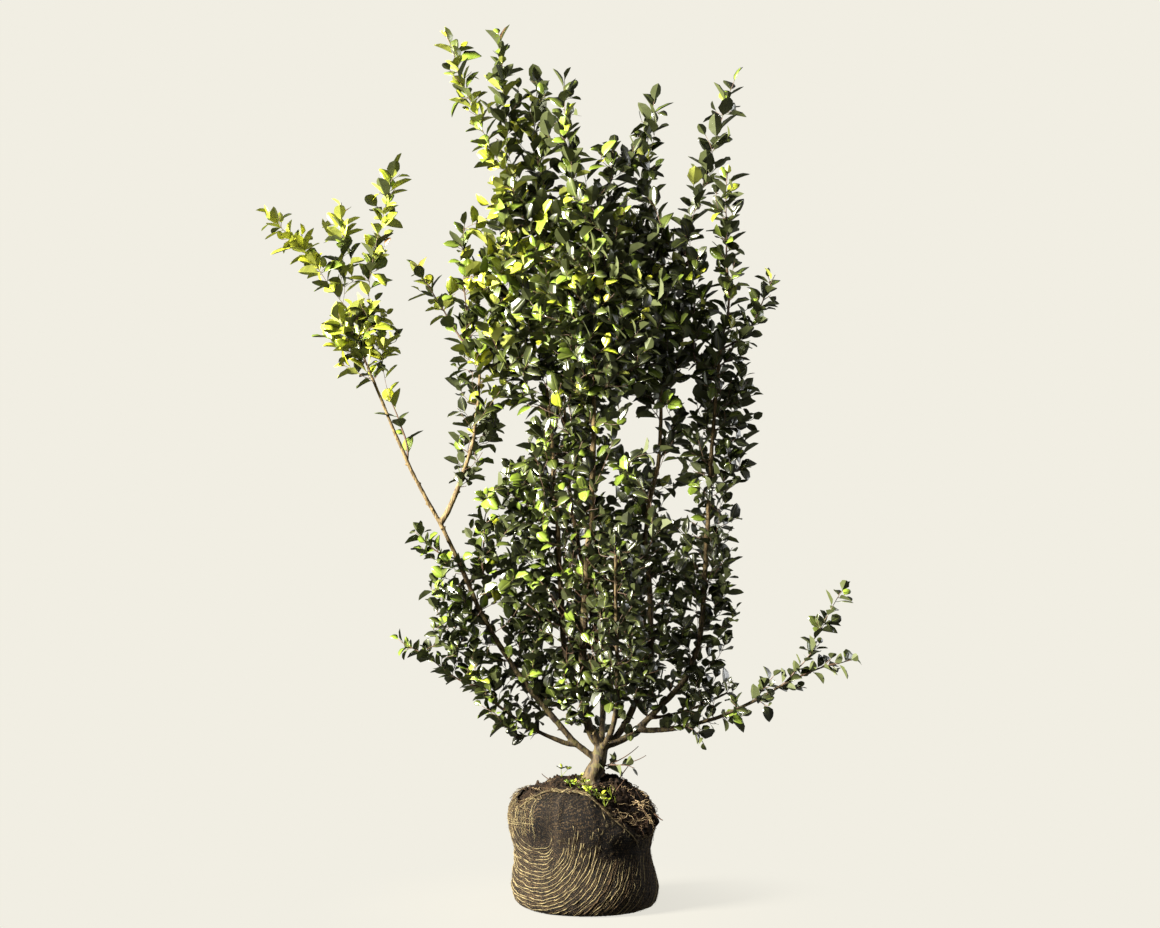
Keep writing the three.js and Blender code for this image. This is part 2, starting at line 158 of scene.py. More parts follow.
class Finish:
    """A material with one Principled shader. Numbers that are the same all over are set on it."""

    def __init__(self, name, colour, roughness, **constants):
        self.material = bpy.data.materials.new(name)
        self.material.use_nodes = True
        self.nodes = self.material.node_tree.nodes
        self.shader = self.nodes["Principled BSDF"]
        self.material.diffuse_color = colour
        same_all_over = {"Base Color": colour, "Roughness": roughness, **constants}
        for socket, value in same_all_over.items():
            self.shader.inputs[socket.replace("_", " ")].default_value = value

    def add(self, kind, settings=None, inputs=None, output=0):
        """A node of this kind: its settings first, then the values or links of its sockets."""
        node = self.nodes.new(kind)
        for name, value in (settings or {}).items():
            setattr(node, name, value)
        for name, value in (inputs or {}).items():
            self.feed(node.inputs[name], value)
        return Value(self, node.outputs[output])

    def feed(self, socket, value):
        """Links a value to a socket, or sets the socket to a number or colour."""
        if isinstance(value, Value):
            self.material.node_tree.links.new(value.socket, socket)
        else:
            socket.default_value = value

    def drive(self, **sockets):
        """Links values to the shader's own sockets, such as Base_Color or Roughness."""
        for name, value in sockets.items():
            self.feed(self.shader.inputs[name.replace("_", " ")], value)

    def place(self, stretch=(1, 1, 1)):
        """Where on the piece a point is, in metres, with each axis stretched."""
        place = self.add("ShaderNodeTexCoord", output="Object")
        return self.add("ShaderNodeMapping", inputs={"Vector": place, "Scale": stretch})

    def cloud(self, where, size, detail=3, roughness=0.55):
        """Soft noise between about 0.3 and 0.7, whose patches are about this size in metres."""
        grain = {"Scale": 1 / size, "Detail": detail, "Roughness": roughness}
        return self.add("ShaderNodeTexNoise", inputs={"Vector": where, **grain})

    def blend(self, share, first, second):
        """One colour turning into another as the share goes from 0 to 1."""
        node = self.nodes.new("ShaderNodeMix")
        node.data_type = "RGBA"
        colours = [socket for socket in node.inputs if socket.type == "RGBA"]
        for socket, value in zip([node.inputs["Factor"], *colours], (share, first, second)):
            self.feed(socket, value)
        return Value(self, next(socket for socket in node.outputs if socket.type == "RGBA"))

    def relief(self, height, depth):
        """Small relief from a height between 0 and 1, this many metres deep."""
        bump = {"Height": height, "Distance": depth, "Strength": 1.0}
        self.drive(Normal=self.add("ShaderNodeBump", inputs=bump))


# %% [markdown]
# ## Light and floor
# One large soft lamp stands high on the left and a little in front, as a low sun would. Two weak ones
# and the pale room fill the shadows only a little. The floor is pale too and fades into the room, so
# that no horizon shows behind the plant.

# %% Light, room and floor
PALE = tint("#f1eee3")
FLOOR = tint("#7a7872")
FILL = 0.24  # how much of the room's light reaches the plant
FLOOR_SHADE = 0.16  # how much of the plant's shadow the floor takes close to it
FLOOR_RADIUS = 9
AIM = (0, 0, 0.7)


def lamp(name, place, aim, size, power, colour):
    """A square soft lamp at a place, turned to face the aim."""
    light = bpy.data.lights.new(name, "AREA")
    light.size = size
    light.energy = power
    light.color = colour
    holder = bpy.data.objects.new(name, light)
    SCENE.collection.objects.link(holder)
    holder.location = place
    way = Vector(aim) - Vector(place)
    holder.rotation_euler = way.to_track_quat("-Z", "Y").to_euler()


def room():
    """The pale room: bright where it is seen, and dimmer as a light."""
    world = bpy.data.worlds.new("room")
    world.use_nodes = True
    SCENE.world = world
    nodes, links = world.node_tree.nodes, world.node_tree.links
    backdrop = nodes["Background"]
    backdrop.inputs["Color"].default_value = PALE
    seen = nodes.new("ShaderNodeLightPath")
    strength = nodes.new("ShaderNodeMapRange")
    strength.inputs["To Min"].default_value = FILL
    links.new(seen.outputs["Is Camera Ray"], strength.inputs["Value"])
    links.new(strength.outputs[0], backdrop.inputs["Strength"])


def floor():
    """A pale disc in the room's own colour. It takes a faint shadow close to the plant and, like the
    room, it is dimmer as a light than it looks."""
    bpy.ops.mesh.primitive_circle_add(vertices=96, radius=FLOOR_RADIUS, fill_type="NGON")
    disc = bpy.context.object
    disc.name = "floor"
    pale = Finish("pale_floor", FLOOR, 0.9)
    place = pale.add("ShaderNodeTexCoord", output="Object")
    away = pale.add("ShaderNodeVectorMath", {"operation": "LENGTH"}, {0: place}, output="Value")
    seen = pale.add("ShaderNodeLightPath", output="Is Camera Ray")
    glow = pale.add("ShaderNodeEmission", inputs={"Color": PALE, "Strength": seen * (1 - FILL) + FILL})
    own = Value(pale, pale.shader.outputs[0])
    mixed = {0: away.between(0.1, 0.5) * FLOOR_SHADE + (1 - FLOOR_SHADE), 1: own, 2: glow}
    both = pale.add("ShaderNodeMixShader", inputs=mixed)
    pale.feed(pale.nodes["Material Output"].inputs["Surface"], both)
    disc.data.materials.append(pale.material)
    disc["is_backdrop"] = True


SCENE.view_settings.view_transform = "Standard"
lamp("sunny_side", (-6.6, -3.5, 4.2), (0, 0, 0.75), 2.4, 7400, (1.0, 0.96, 0.87))
lamp("front_fill", (1.2, -4.5, 1.6), AIM, 2.0, 10, (1.0, 0.99, 0.96))
lamp("shady_side", (5.6, 2.2, 2.2), AIM, 3.0, 200, (0.97, 0.98, 1.0))
room()
floor()

# %% [markdown]
# ## Measuring the CAD model
# A limb's line and thickness come from its CAD node: planes cut it square to its length, and each
# cut gives a middle and a radius. Rays do the rest. An odd number of crossings above a point means
# that it lies inside a closed mass, and the last crossing outwards is where a surface lies.

# %% Sections, rays and noise
def read(items, field, size, kind=float):
    """A field of all the vertices, loops or triangles of a mesh, with a row of this size for each."""
    values = np.zeros(len(items) * size, kind)
    items.foreach_get(field, values)
    return values.reshape(-1, size)


def triangles(name):
    """The corners of a node's triangles, as an array of (triangle, corner, xyz)."""
    mesh = frame["nodes"][name].data
    mesh.calc_loop_triangles()
    return read(mesh.vertices, "co", 3)[read(mesh.loop_triangles, "vertices", 3, int)]


def unit(ways):
    """The same directions with a length of one."""
    return ways / np.maximum(np.linalg.norm(ways, axis=-1, keepdims=True), 1e-12)


def sections(name, count, way=None):
    """Middles and radii of cuts square to a node's longest direction, or to the given one. A triangle
    with corners on both sides of a plane is cut in a chord p q. With c the mean of the chords, the
    area is the sum of |(p - c) x (q - c)| / 2, the middle is the mean of (c + p + q) / 3 by area, and
    the radius is that of a circle of the area, seen along the line that joins the middles."""
    corners = triangles(name)
    if way is None:
        flat = corners.reshape(-1, 3)
        way = np.linalg.svd(flat - flat.mean(0), full_matrices=False)[2][0]
        way = way * np.sign(way[2])
    height = corners @ way
    middles, areas = [], []
    for stop in height.min() + np.ptp(height) * (np.arange(count) + 0.5) / count:
        off = height - stop
        after = np.roll(off, -1, axis=1)
        cut = off * after < 0
        share = np.where(cut, off / np.where(cut, off - after, 1), 0)[..., None]
        ends = (corners + share * (np.roll(corners, -1, axis=1) - corners))[cut].reshape(-1, 2, 3)
        centre = ends.mean((0, 1))
        area = np.linalg.norm(np.cross(ends[:, 0] - centre, ends[:, 1] - centre), axis=1) / 2
        middles.append((area[:, None] * (centre + ends.sum(1)) / 3).sum(0) / area.sum())
        areas.append(area.sum())
    middles = np.array(middles)
    slant = np.abs(unit(np.gradient(middles, axis=0)) @ way)
    return middles, np.sqrt(np.array(areas) * slant / np.pi)


def hits(corners, starts, ways):
    """How far along each ray each triangle is crossed, or infinity: the ray's start plus t times its
    way equals a + u (b - a) + v (c - a), with u and v over 0 and u + v under 1."""
    first, second = corners[:, 1] - corners[:, 0], corners[:, 2] - corners[:, 0]
    square = np.cross(ways[:, None], second[None])
    size = (square * first).sum(-1)
    size = np.where(np.abs(size) < 1e-15, 1e-15, size)
    from_a = starts[:, None] - corners[None, :, 0]
    u = (from_a * square).sum(-1) / size
    turned = np.cross(from_a, first[None])
    v = (ways[:, None] * turned).sum(-1) / size
    t = (second * turned).sum(-1) / size
    return np.where((u >= 0) & (v >= 0) & (u + v <= 1) & (t > 0), t, np.inf)


def inside(name, points):
    """True for each point that lies in a node: a ray upwards leaves it through an odd number of faces."""
    upwards = np.broadcast_to([0.0137, 0.0071, 1.0], points.shape)
    return np.isfinite(hits(triangles(name), points, upwards)).sum(1) % 2 == 1


def noise(points, size, seed, octaves=3):
    """Smooth noise between about -1 and 1: random values at the corners of cubes of this size,
    blended by the smooth step 3 t^2 - 2 t^3, plus the same at half the size and strength, and so on."""
    table = np.random.default_rng(seed).uniform(-1, 1, (32, 32, 32))
    total = 0.0
    for octave in range(octaves):
        where = points * (2 ** octave / size) + 7.3 * octave
        cell = np.floor(where).astype(int)
        part = where - cell
        part = part * part * (3 - 2 * part)
        for corner in np.ndindex(2, 2, 2):
            weight = np.prod(np.where(corner, part, 1 - part), axis=-1)
            total = total + weight * table[tuple(np.moveaxis((cell + corner) % 32, -1, 0))] / 2 ** octave
    return total


def in_parts(work, rows, size):
    """What a function gives for all the rows, worked out some rows at a time to save memory."""
    return np.concatenate([work(part) for part in np.array_split(rows, len(rows) // size + 1)])


def smooth_step(values, low, high):
    """0 below low, 1 above high, and 3 t^2 - 2 t^3 between them."""
    part = np.clip((values - low) / (high - low), 0, 1)
    return part * part * (3 - 2 * part)


# %% [markdown]
# ## Meshes from arrays
# Twigs, boughs, threads and rootlets are all tubes: a ring of points carried along a path. `tubes`
# makes any number of them at once, from an array of paths with the same number of points each.

# %% Tubes and pieces
def grid_faces(rows, columns):
    """Quads between the points of a grid that are numbered row by row. The last column joins the
    first one."""
    row, column = np.meshgrid(np.arange(rows - 1), np.arange(columns), indexing="ij")
    after = (column + 1) % columns
    corners = [row * columns + column, row * columns + after, (row + 1) * columns + after]
    return np.stack([*corners, (row + 1) * columns + column], -1).reshape(-1, 4)


def directions(paths):
    """The unit tangent of each path and two unit vectors across it. The first is square to the tangent
    and to the path's whole turn, so that it doesn't twist along a gently bent path."""
    along = unit(np.gradient(paths, axis=-2))
    chord = unit(paths[..., -1:, :] - paths[..., :1, :])
    level = np.where(np.abs(chord[..., 2:]) > 0.8, [1.0, 0.0, 0.0], [0.0, 0.0, 1.0])
    across = unit(np.cross(along, np.cross(chord, level)))
    return along, across, np.cross(along, across)


def repeated(groups, count, size):
    """The faces of many copies of a mesh of this size, in which the points of each copy follow those
    of the last."""
    first = np.arange(count)[:, None, None] * size
    return [(faces[None] + first).reshape(-1, faces.shape[1]) for faces in groups]


def tubes(paths, radii, sides):
    """Closed tubes round paths of shape (tube, point, 3): point + radius (cos a across + sin a up).
    Gives their points, quads and end caps."""
    count, steps = paths.shape[:2]
    _, across, up = directions(paths)
    angle = 2 * np.pi * np.arange(sides) / sides
    ring = across[..., None, :] * np.cos(angle)[:, None] + up[..., None, :] * np.sin(angle)[:, None]
    points = (paths[..., None, :] + radii[..., None, None] * ring).reshape(-1, 3)
    foot = np.arange(sides)[None, ::-1]
    tip = np.arange(sides)[None] + (steps - 1) * sides
    quads, *ends = repeated((grid_faces(steps, sides), foot, tip), count, steps * sides)
    return points, quads, np.concatenate(ends)


def merged(meshes):
    """Several meshes as one, each given as its points and its groups of faces: the numbers of each go
    on from the last. Gives the points, and the groups mesh by mesh."""
    first = np.cumsum([0] + [len(points) for points, *_ in meshes])
    groups = [[faces + start for faces in own] for start, (_, *own) in zip(first, meshes)]
    return np.vstack([points for points, *_ in meshes]), groups


def piece(name, points, faces, finishes, tints=None, smooth=None):
    """A new mesh object. faces is a list of face arrays, tints gives each face's finish, and smooth
    says which faces are shaded smoothly."""
    mesh = bpy.data.meshes.new(name)
    mesh.from_pydata(points.tolist(), [], [face for group in faces for face in group.tolist()])
    for finish in finishes:
        mesh.materials.append(finish.material)
    count = len(mesh.polygons)
    if tints is not None:
        mesh.polygons.foreach_set("material_index", tints.astype(np.int32))
    flags = np.ones(count, bool) if smooth is None else smooth
    mesh.polygons.foreach_set("use_smooth", flags)
    mesh.update()
    obj = bpy.data.objects.new(name, mesh)
    SCENE.collection.objects.link(obj)
    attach(obj, "root")
    triangle_count = sum(len(group) * (group.shape[1] - 2) for group in faces)
    print(f"{name}: {triangle_count} triangles")
    return obj


# %% [markdown]
# ## The skeleton of the wood
# Each limb is sliced from foot to tip. Its CAD solid was cut where it meets its parent, so the line
# is carried on to the nearest point of a thicker limb: in a real fork the fibres run on in the same
# way. The slices of the trunk stop short of its flat cut, so its line is carried down into the soil.

# %% Limbs measured from the CAD nodes
def steps_of(path):
    """The distances between a line's points."""
    return np.linalg.norm(np.diff(path, axis=0), axis=1)


def run_of(path):
    """How far along a line each of its points lies."""
    return np.concatenate([[0], np.cumsum(steps_of(path))])


def along_line(stops, run, path):
    """What a line's rows, such as its points, are at stops along its run."""
    return np.stack([np.interp(stops, run, column) for column in path.T], 1)


def resampled(path, values, step):
    """The same line with equally spaced points, about a step apart."""
    run = run_of(path)
    stops = np.linspace(0, run[-1], max(4, int(round(run[-1] / step)) + 1))
    return along_line(stops, run, path), np.interp(stops, run, values)


def picked(path, count):
    """The same line with this many points, by equal steps in their number."""
    return along_line(np.linspace(0, len(path) - 1, count), np.arange(len(path)), path)


def eased(path, rounds):
    """Takes the corners off a line: each inner point moves half way to the mean of its neighbours."""
    path = path.copy()
    for _ in range(rounds):
        path[1:-1] += (path[:-2] + path[2:] - 2 * path[1:-1]) / 4
    return path


LIMB_STEP = 4 * MM
LIMB_CUTS, TRUNK_CUTS = 28, 10
SOIL_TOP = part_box("trunk")[0][2]
UP = np.array([0.0, 0.0, 1.0])
measured = {name: sections(name, LIMB_CUTS) for name in WOOD}
measured["trunk"] = sections("trunk", TRUNK_CUTS, UP)
limbs = {}


def joined(path):
    """The point of the thicker limbs that a limb grows from, near its foot, behind it and thick: the
    one with the least gap (2.5 - 1.5 cos a) / thickness, where a is the angle from there to the limb."""
    lines = np.vstack([line for line, _ in limbs.values()])
    thickness = np.concatenate([radii for _, radii in limbs.values()])
    ahead = path[0] - lines
    gap = np.linalg.norm(ahead, axis=1)
    straight = unit(ahead) @ unit(path[2] - path[0])
    return lines[np.argmin(gap * (2.5 - 1.5 * straight) / thickness)]


for name in sorted(WOOD, key=lambda name: -measured[name][1][1]):
    path, radii = measured[name]
    if name == "trunk":
        foot = path[0] + [0, 0, SOIL_TOP - 8 * MM - path[0][2]]
    else:
        path, radii = path[1:], np.append(radii[2], radii[2:])
        foot = joined(path)
    tip = path[-1] + (path[-1] - path[-2]) * 0.5
    radii = np.concatenate([radii[:1], radii, radii[-1:]])
    line, thickness = resampled(np.vstack([foot, path, tip]), radii, LIMB_STEP)
    limbs[name] = eased(line, 12), thickness
    size = f"{2000 * thickness[1]:.0f} to {2000 * thickness[-1]:.0f} mm thick"
    print(f"{name}: {len(line) * LIMB_STEP:.2f} m long, {size}")

# %% [markdown]
# ## How the crown grows
# Every shoot tip is a target that has to be reached, and a twig grows to it from the wood that is
# already there. The best place to start is close by, lies below the target and lets the twig leave
# its parent at a sharp angle. Places that have a twig already are less good. So the crown branches
# on from the limbs, and its tips fill the masses of the CAD model and leave its gaps open. Long
# leaders go first, then the side twigs, the nearest first.

# %% Twigs that reach for their tips
rng = np.random.default_rng(SEED)
LEADER_POINTS = 18
TWIG_POINTS = 8
BUSY = 14 * MM  # how much further off a place seems for each twig that it already bears
CROWDED = 14 * MM  # how far round a twig's foot the wood counts as bearing it
SHORTEST = 12 * MM  # the least length of a twig
BLUNT, HANGING = 2.2, 1.5  # how much more a twig costs that leaves at a blunt angle or hangs down
TWIG_END = 0.5 * MM  # the radius of a twig's tip


class Wood:
    """Everything that a new twig may grow from: points, the direction there, the thickness, and how
    many twigs a place bears already."""

    def __init__(self, room=90000):
        self.count = 0
        self.points, self.ways = np.zeros((room, 3)), np.zeros((room, 3))
        self.radii, self.load = np.zeros(room), np.zeros(room)

    def add(self, line, radii):
        """Adds a limb or twig."""
        new = slice(self.count, self.count + len(line))
        self.points[new] = line
        self.ways[new] = unit(np.gradient(line, axis=0))
        self.radii[new] = radii
        self.count = new.stop

    def start_for(self, tip):
        """The place where a twig to this tip leaves the wood. It costs its length, more where the twig
        would leave at a blunt angle or hang down, and more at places that bear twigs already."""
        points, ways = self.points[:self.count], self.ways[:self.count]
        reach = tip - points
        length = np.linalg.norm(reach, axis=1)
        straight = reach / np.maximum(length, MM)[:, None]
        blunt = BLUNT * np.maximum(0, 0.45 - (straight * ways).sum(1))
        hanging = HANGING * np.maximum(0, 0.25 - straight[:, 2])
        cost = length * (1 + blunt + hanging) + BUSY * self.load[:self.count]
        best = int(np.argmin(np.where(length > SHORTEST, cost, np.inf)))
        near = np.linalg.norm(points - points[best], axis=1) < CROWDED
        self.load[:self.count][near] += 1
        return points[best], ways[best], self.radii[best]


def bowed(start, way, tip, finish, count):
    """A twig from start to tip: the cubic (1-t)^3 a + 3 t (1-t)^2 b + 3 t^2 (1-t) c + t^3 d, which
    leaves along the parent's direction, blended with its own, and ends more upright."""
    t = np.linspace(0, 1, count)[:, None]
    length = np.linalg.norm(tip - start)
    own = unit(tip - start)
    second = start + unit(0.55 * way + 0.75 * own) * length * 0.34
    third = tip - unit(own + 0.35 * finish) * length * 0.3
    return (1 - t) ** 3 * start + 3 * t * (1 - t) ** 2 * second + 3 * t * t * (1 - t) * third + t ** 3 * tip


wood = Wood()
for line, radii in limbs.values():
    wood.add(line, radii)
shoots = []  # each twig: its line, its radii and whether it leads


def grow(tip, leads=False, through=None):
    """Adds a twig to a tip. A leader that follows a mass passes through the points of its spine. At
    its foot a twig's radius is 0.75 mm, and 9 mm more for each metre of length, up to its parent's."""
    goal = tip if through is None else through[0]
    start, way, parent = wood.start_for(goal)
    if through is None:
        line = bowed(start, way, tip, UP, LEADER_POINTS if leads else TWIG_POINTS)
    else:
        rough, _ = resampled(np.vstack([start, through]), np.zeros(len(through) + 1), 6 * MM)
        line = picked(eased(rough, 30), LEADER_POINTS)
    foot = min((0.75 + 9 * steps_of(line).sum()) * MM, 0.85 * parent)
    radii = foot + (TWIG_END - foot) * np.linspace(0, 1, len(line)) ** 1.2
    wobble = noise(line, 25 * MM, SEED + 1, 2) * np.linspace(0, 1, len(line)) * 2.5 * MM
    line = line + wobble[:, None] * directions(line)[1]
    wood.add(line, radii)
    shoots.append((line, radii, leads))


def gap_to(points, place):
    """How far a place is from the nearest of these points."""
    return np.linalg.norm(points - place, axis=1).min()


def scattered(points, spacing):
    """Keeps points in their order as long as each is at least the spacing from those kept before."""
    kept = points[:1]
    for point in points[1:]:
        if gap_to(kept, point) > spacing:
            kept = np.vstack([kept, point])
    return kept


SINGLE = 32 * MM  # a mass thinner than this is one shoot
MASS_CUTS = 14
spines = {name: sections(name, MASS_CUTS) for name in MASSES}
limb_points = np.vstack([line for line, _ in limbs.values()])


def from_its_foot(name):
    """A mass's spine, turned so that it starts at the end nearer to a limb."""
    path, radii = spines[name]
    gaps = [gap_to(limb_points, path[end]) for end in (0, -1)]
    turned = gaps[0] > gaps[1] + 12 * MM and path[-1][2] - path[0][2] < 0.1
    return (path[::-1], radii[::-1]) if turned else (path, radii)


def limb_share(name):
    """How much of a mass's length a limb runs along inside it."""
    path, radii = spines[name]
    gaps = np.linalg.norm(limb_points[:, None] - path[None], axis=2)
    return float((gaps.min(0) < 0.7 * radii).mean())


spines = {name: from_its_foot(name) for name in MASSES}
singles = [name for name in MASSES if spines[name][1].mean() < SINGLE and limb_share(name) < 0.5]
wide = [name for name in MASSES if name not in singles]
print(f"{len(singles)} single shoots, {len(wide)} wide masses: {singles}")

# %% [markdown]
# ## Where the tips are
# A wide mass is filled with tips at random, but never two close together, and each is drawn in a
# little so that its leaves end at the mass's skin. Masses that reach above the limbs first get a few
# long leaders to their tops. A thin mass is one shoot: a leader that follows its spine. More tips
# before and behind the masses round the crown out, and noise leaves gaps that show the sky.

# %% Tips and their twigs
SPACING = [20 * MM, 21.5 * MM]  # between the tips of side twigs, low down and at the top
LEADER_SPACING, THIN_SPACING, DEPTH_SPACING = 46 * MM, 24 * MM, 34 * MM
LEADER_TRIES, THIN_TRIES, MASS_TRIES, DEPTH_TRIES = 900, 900, 9000, 6000
LEADERS_FROM = 0.8  # the share of a mass's height above which leaders end
SKIN = 3 * MM  # how far inside the skin a tip stops
INSET = 16 * MM  # how far inside the crown's front and back every tip stays
CLEAR = 24 * MM  # how far the tips that fill the depth stay from the others
STRAYS = 0.05  # the share of tips that reach out beyond the skin
GAPS = -0.24  # where noise lies below this, the crown is left open
OPEN = 0.85  # the share of tips that are left out there
CROWN_MIDDLE, CROWN_HALF = np.array([0.02, 0.02]), np.array([0.22, 0.165])  # across and in depth
DEPTH_HEIGHTS = (0.34, 1.34)
SPUR_HEIGHTS = (0.29, 0.62)  # where the boughs bear short spurs
SPUR_LENGTHS = (22, 55)  # in millimetres
NEAREST = 8 * MM  # a tip this close to the wood gets no twig


def open_sky(points):
    """Which places are in gaps that run through the crown from front to back."""
    gap = noise(points * [1, 0.35, 1], 48 * MM, SEED + 2, 2) < GAPS
    return gap & (rng.uniform(0, 1, len(points)) < OPEN)


def tips_in(name, spacing, tries, low=0.0):
    """Tips inside a mass, from a share of its height upwards, drawn in from its skin."""
    corners = triangles(name).reshape(-1, 3)
    bottom, top = corners.min(0), corners.max(0)
    points = rng.uniform(bottom, top, (tries, 3))
    points = points[(points[:, 2] > bottom[2] + low * (top[2] - bottom[2])) & inside(name, points)]
    path, radii = spines[name]
    near = np.argmin(np.linalg.norm(points[:, None] - path[None], axis=2), axis=1)
    reach = np.clip(1 - SKIN / radii[near], 0.4, 1)
    strays = rng.uniform(0, 1, len(points)) < STRAYS
    reach = np.where(strays, reach * rng.uniform(1.1, 1.4, len(points)), reach)
    points = path[near] + (points - path[near]) * reach[:, None]
    points = points[~open_sky(points)]
    points[:, 1] = np.clip(points[:, 1], CAD_BOX[0][1] + INSET, CAD_BOX[1][1] - INSET)
    return scattered(points, spacing)


def depth_tips(others, spacing, tries):
    """Tips that fill the crown from front to back: inside an ellipse round its middle that narrows at
    the top and the foot, before or behind a mass, and clear of the other tips."""
    low, high = DEPTH_HEIGHTS
    across = rng.uniform(-1, 1, (tries, 2)) * CROWN_HALF + CROWN_MIDDLE
    points = np.column_stack([across, rng.uniform(low, high, tries)])
    narrow = 1 - 0.5 * smooth_step(points[:, 2], high - 0.35, high)
    narrow -= 0.4 * smooth_step(-points[:, 2], -low - 0.3, -low)
    points = points[(((points[:, :2] - CROWN_MIDDLE) / CROWN_HALF) ** 2).sum(1) < narrow ** 2]
    corners = np.concatenate([triangles(name) for name in MASSES])
    level = points * [1, 0, 1] - [0, 1, 0]

    def behind_or_before(part):
        return np.isfinite(hits(corners, part, np.broadcast_to([0.0, 1.0, 0.0], part.shape))).any(1)

    clear = [gap_to(others, point) > CLEAR for point in points]
    return scattered(points[in_parts(behind_or_before, level, 200) & clear & ~open_sky(points)], spacing)


leaders = []
for name in wide:
    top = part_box(name)[1][2]
    if top - limb_points[:, 2].max() > -0.25 and limb_share(name) < 0.5:
        leaders += [(tip, None) for tip in tips_in(name, LEADER_SPACING, LEADER_TRIES, LEADERS_FROM)]
for name in singles:
    path, _ = spines[name]
    leaders.append((path[-1], path))
for tip, spine in sorted(leaders, key=lambda leader: leader[0][2]):
    grow(tip, True, spine)
print(f"{len(shoots)} leaders")

targets = []
for name in wide:
    height = smooth_step(spines[name][0][:, 2].mean(), 0.6, 1.0)
    spacing = SPACING[0] + height * (SPACING[1] - SPACING[0])
    targets += list(tips_in(name, spacing, MASS_TRIES))
for name in singles:
    targets += list(tips_in(name, THIN_SPACING, THIN_TRIES))
targets += list(depth_tips(np.array(targets), DEPTH_SPACING, DEPTH_TRIES))
for line, radii in limbs.values():
    stops = np.flatnonzero((line[:, 2] > SPUR_HEIGHTS[0]) & (line[:, 2] < SPUR_HEIGHTS[1]))
    for index in rng.permutation(stops)[:len(stops) // 7]:
        out = unit(rng.normal(0, 1, 3) * [1, 1, 0.5] + 0.3 * UP)
        targets.append(line[index] + out * rng.uniform(*SPUR_LENGTHS) * MM)
grown = wood.points[:wood.count]
gaps = [gap_to(grown, tip) for tip in targets]
for index in np.argsort(gaps):
    if gaps[index] > NEAREST:
        grow(targets[index])
lengths = [steps_of(line).sum() for line, *_ in shoots]
print(f"{len(shoots)} twigs, {sum(lengths):.0f} m long in all, mean {1000 * np.mean(lengths):.0f} mm")

# %% Twig meshes
ZONES = {
    "low_left": lambda x, z: (z < 0.62) & (x < -0.06),
    "low_middle": lambda x, z: (z < 0.62) & (x >= -0.06) & (x < 0.1),
    "low_right": lambda x, z: (z < 0.62) & (x >= 0.1),
    "left_boughs": lambda x, z: (z >= 0.62) & (x < -0.17),
    "mid": lambda x, z: (z >= 0.62) & (x >= -0.17) & (z < 0.92),
    "upper_left": lambda x, z: (z >= 0.92) & (x >= -0.17) & (x < 0.0),
    "upper_right": lambda x, z: (z >= 0.92) & (x >= 0.0),
}


def zone_of(places):
    """The zone that each place is in: the first whose rule holds."""
    chosen = np.full(len(places), "", object)
    for zone, rule in ZONES.items():
        chosen[(chosen == "") & rule(places[:, 0], places[:, 2])] = zone
    return chosen


young = Finish("young_bark", tint("#4a3524"), 0.55)
zones = zone_of(np.array([line[-1] for line, *_ in shoots]))
for zone in ZONES:
    parts = []
    for leads, sides in ((True, 6), (False, 5)):
        mine = [shoot for shoot, own in zip(shoots, zones) if own == zone and shoot[2] == leads]
        if mine:
            lines, radii = (np.stack([shoot[part] for shoot in mine]) for part in (0, 1))
            parts.append(tubes(lines, radii, sides))
    points, groups = merged(parts)
    faces = [group for alike in zip(*groups) for group in alike]
    piece(f"twigs_{zone}", points, faces, [young])

# %% [markdown]
# ## Leaves
# One leaf is a closed skin of five points round each of seven places along it: the two edges, the two
# sides of the midrib, and the underside. Its stalk is part of it. The halves rise from the midrib
# like an open book, the tip bends back, and the edge has a few blunt teeth. All leaves are made at
# once as arrays, each in its own frame: along the leaf, across it, and up from its upper side.

# %% The leaf
ALONG = np.array([0.0, 0.1, 0.24, 0.43, 0.62, 0.79, 0.91])
HALF = np.array([0.018, 0.02, 0.62, 0.98, 0.95, 0.74, 0.4])  # half width, as a share of the widest
STALK = np.array([1, 1, 0, 0, 0, 0, 0])
RIB = np.array([1, 1, 0.85, 0.72, 0.6, 0.45, 0.3]) * 0.016  # half width of the midrib, by length
THICK = 0.016


def leaf_points(long, wide, fold, bend, sway, tooth):
    """Points of many leaves, each as (ring, point): edge, rib, rib, edge, underside, and then the tip.
    With t the share along, the leaf is at x = long t, its edges at y = +-wide half(t) cos(fold) and
    z = wide half(t) sin(fold), and everything is bent down by bend t^2 and aside by sway t^2."""
    t = ALONG[None]
    teeth = 1 + tooth[:, None] * (1 - STALK) * np.where(np.arange(len(ALONG)) % 2, 1, -1)
    half = wide[:, None] * np.maximum(HALF * teeth, RIB * 1.1)
    rib = long[:, None] * RIB
    rise = half * np.sin(fold)[:, None] * (1 - STALK)
    rise = rise + long[:, None] * 0.004 * (1 - STALK) * np.where(np.arange(len(ALONG)) % 2, 1, -1)
    y = np.stack([half * np.cos(fold)[:, None], rib, -rib, -half * np.cos(fold)[:, None], 0 * rib], 2)
    thick = long[:, None] * THICK * (1 + 0.6 * STALK)
    z = np.stack([rise, 0 * rib, 0 * rib, rise, -thick], 2)
    x = np.broadcast_to((long[:, None] * t)[..., None], y.shape)
    rings = np.stack([x, y, z], 3).reshape(len(long), -1, 3)
    tip = np.stack([long, 0 * long, 0 * long], 1)[:, None]
    local = np.concatenate([rings, tip], 1)
    share = (local[..., 0] / long[:, None]) ** 2
    local[..., 2] -= bend[:, None] * long[:, None] * share
    local[..., 1] += sway[:, None] * long[:, None] * share
    return local


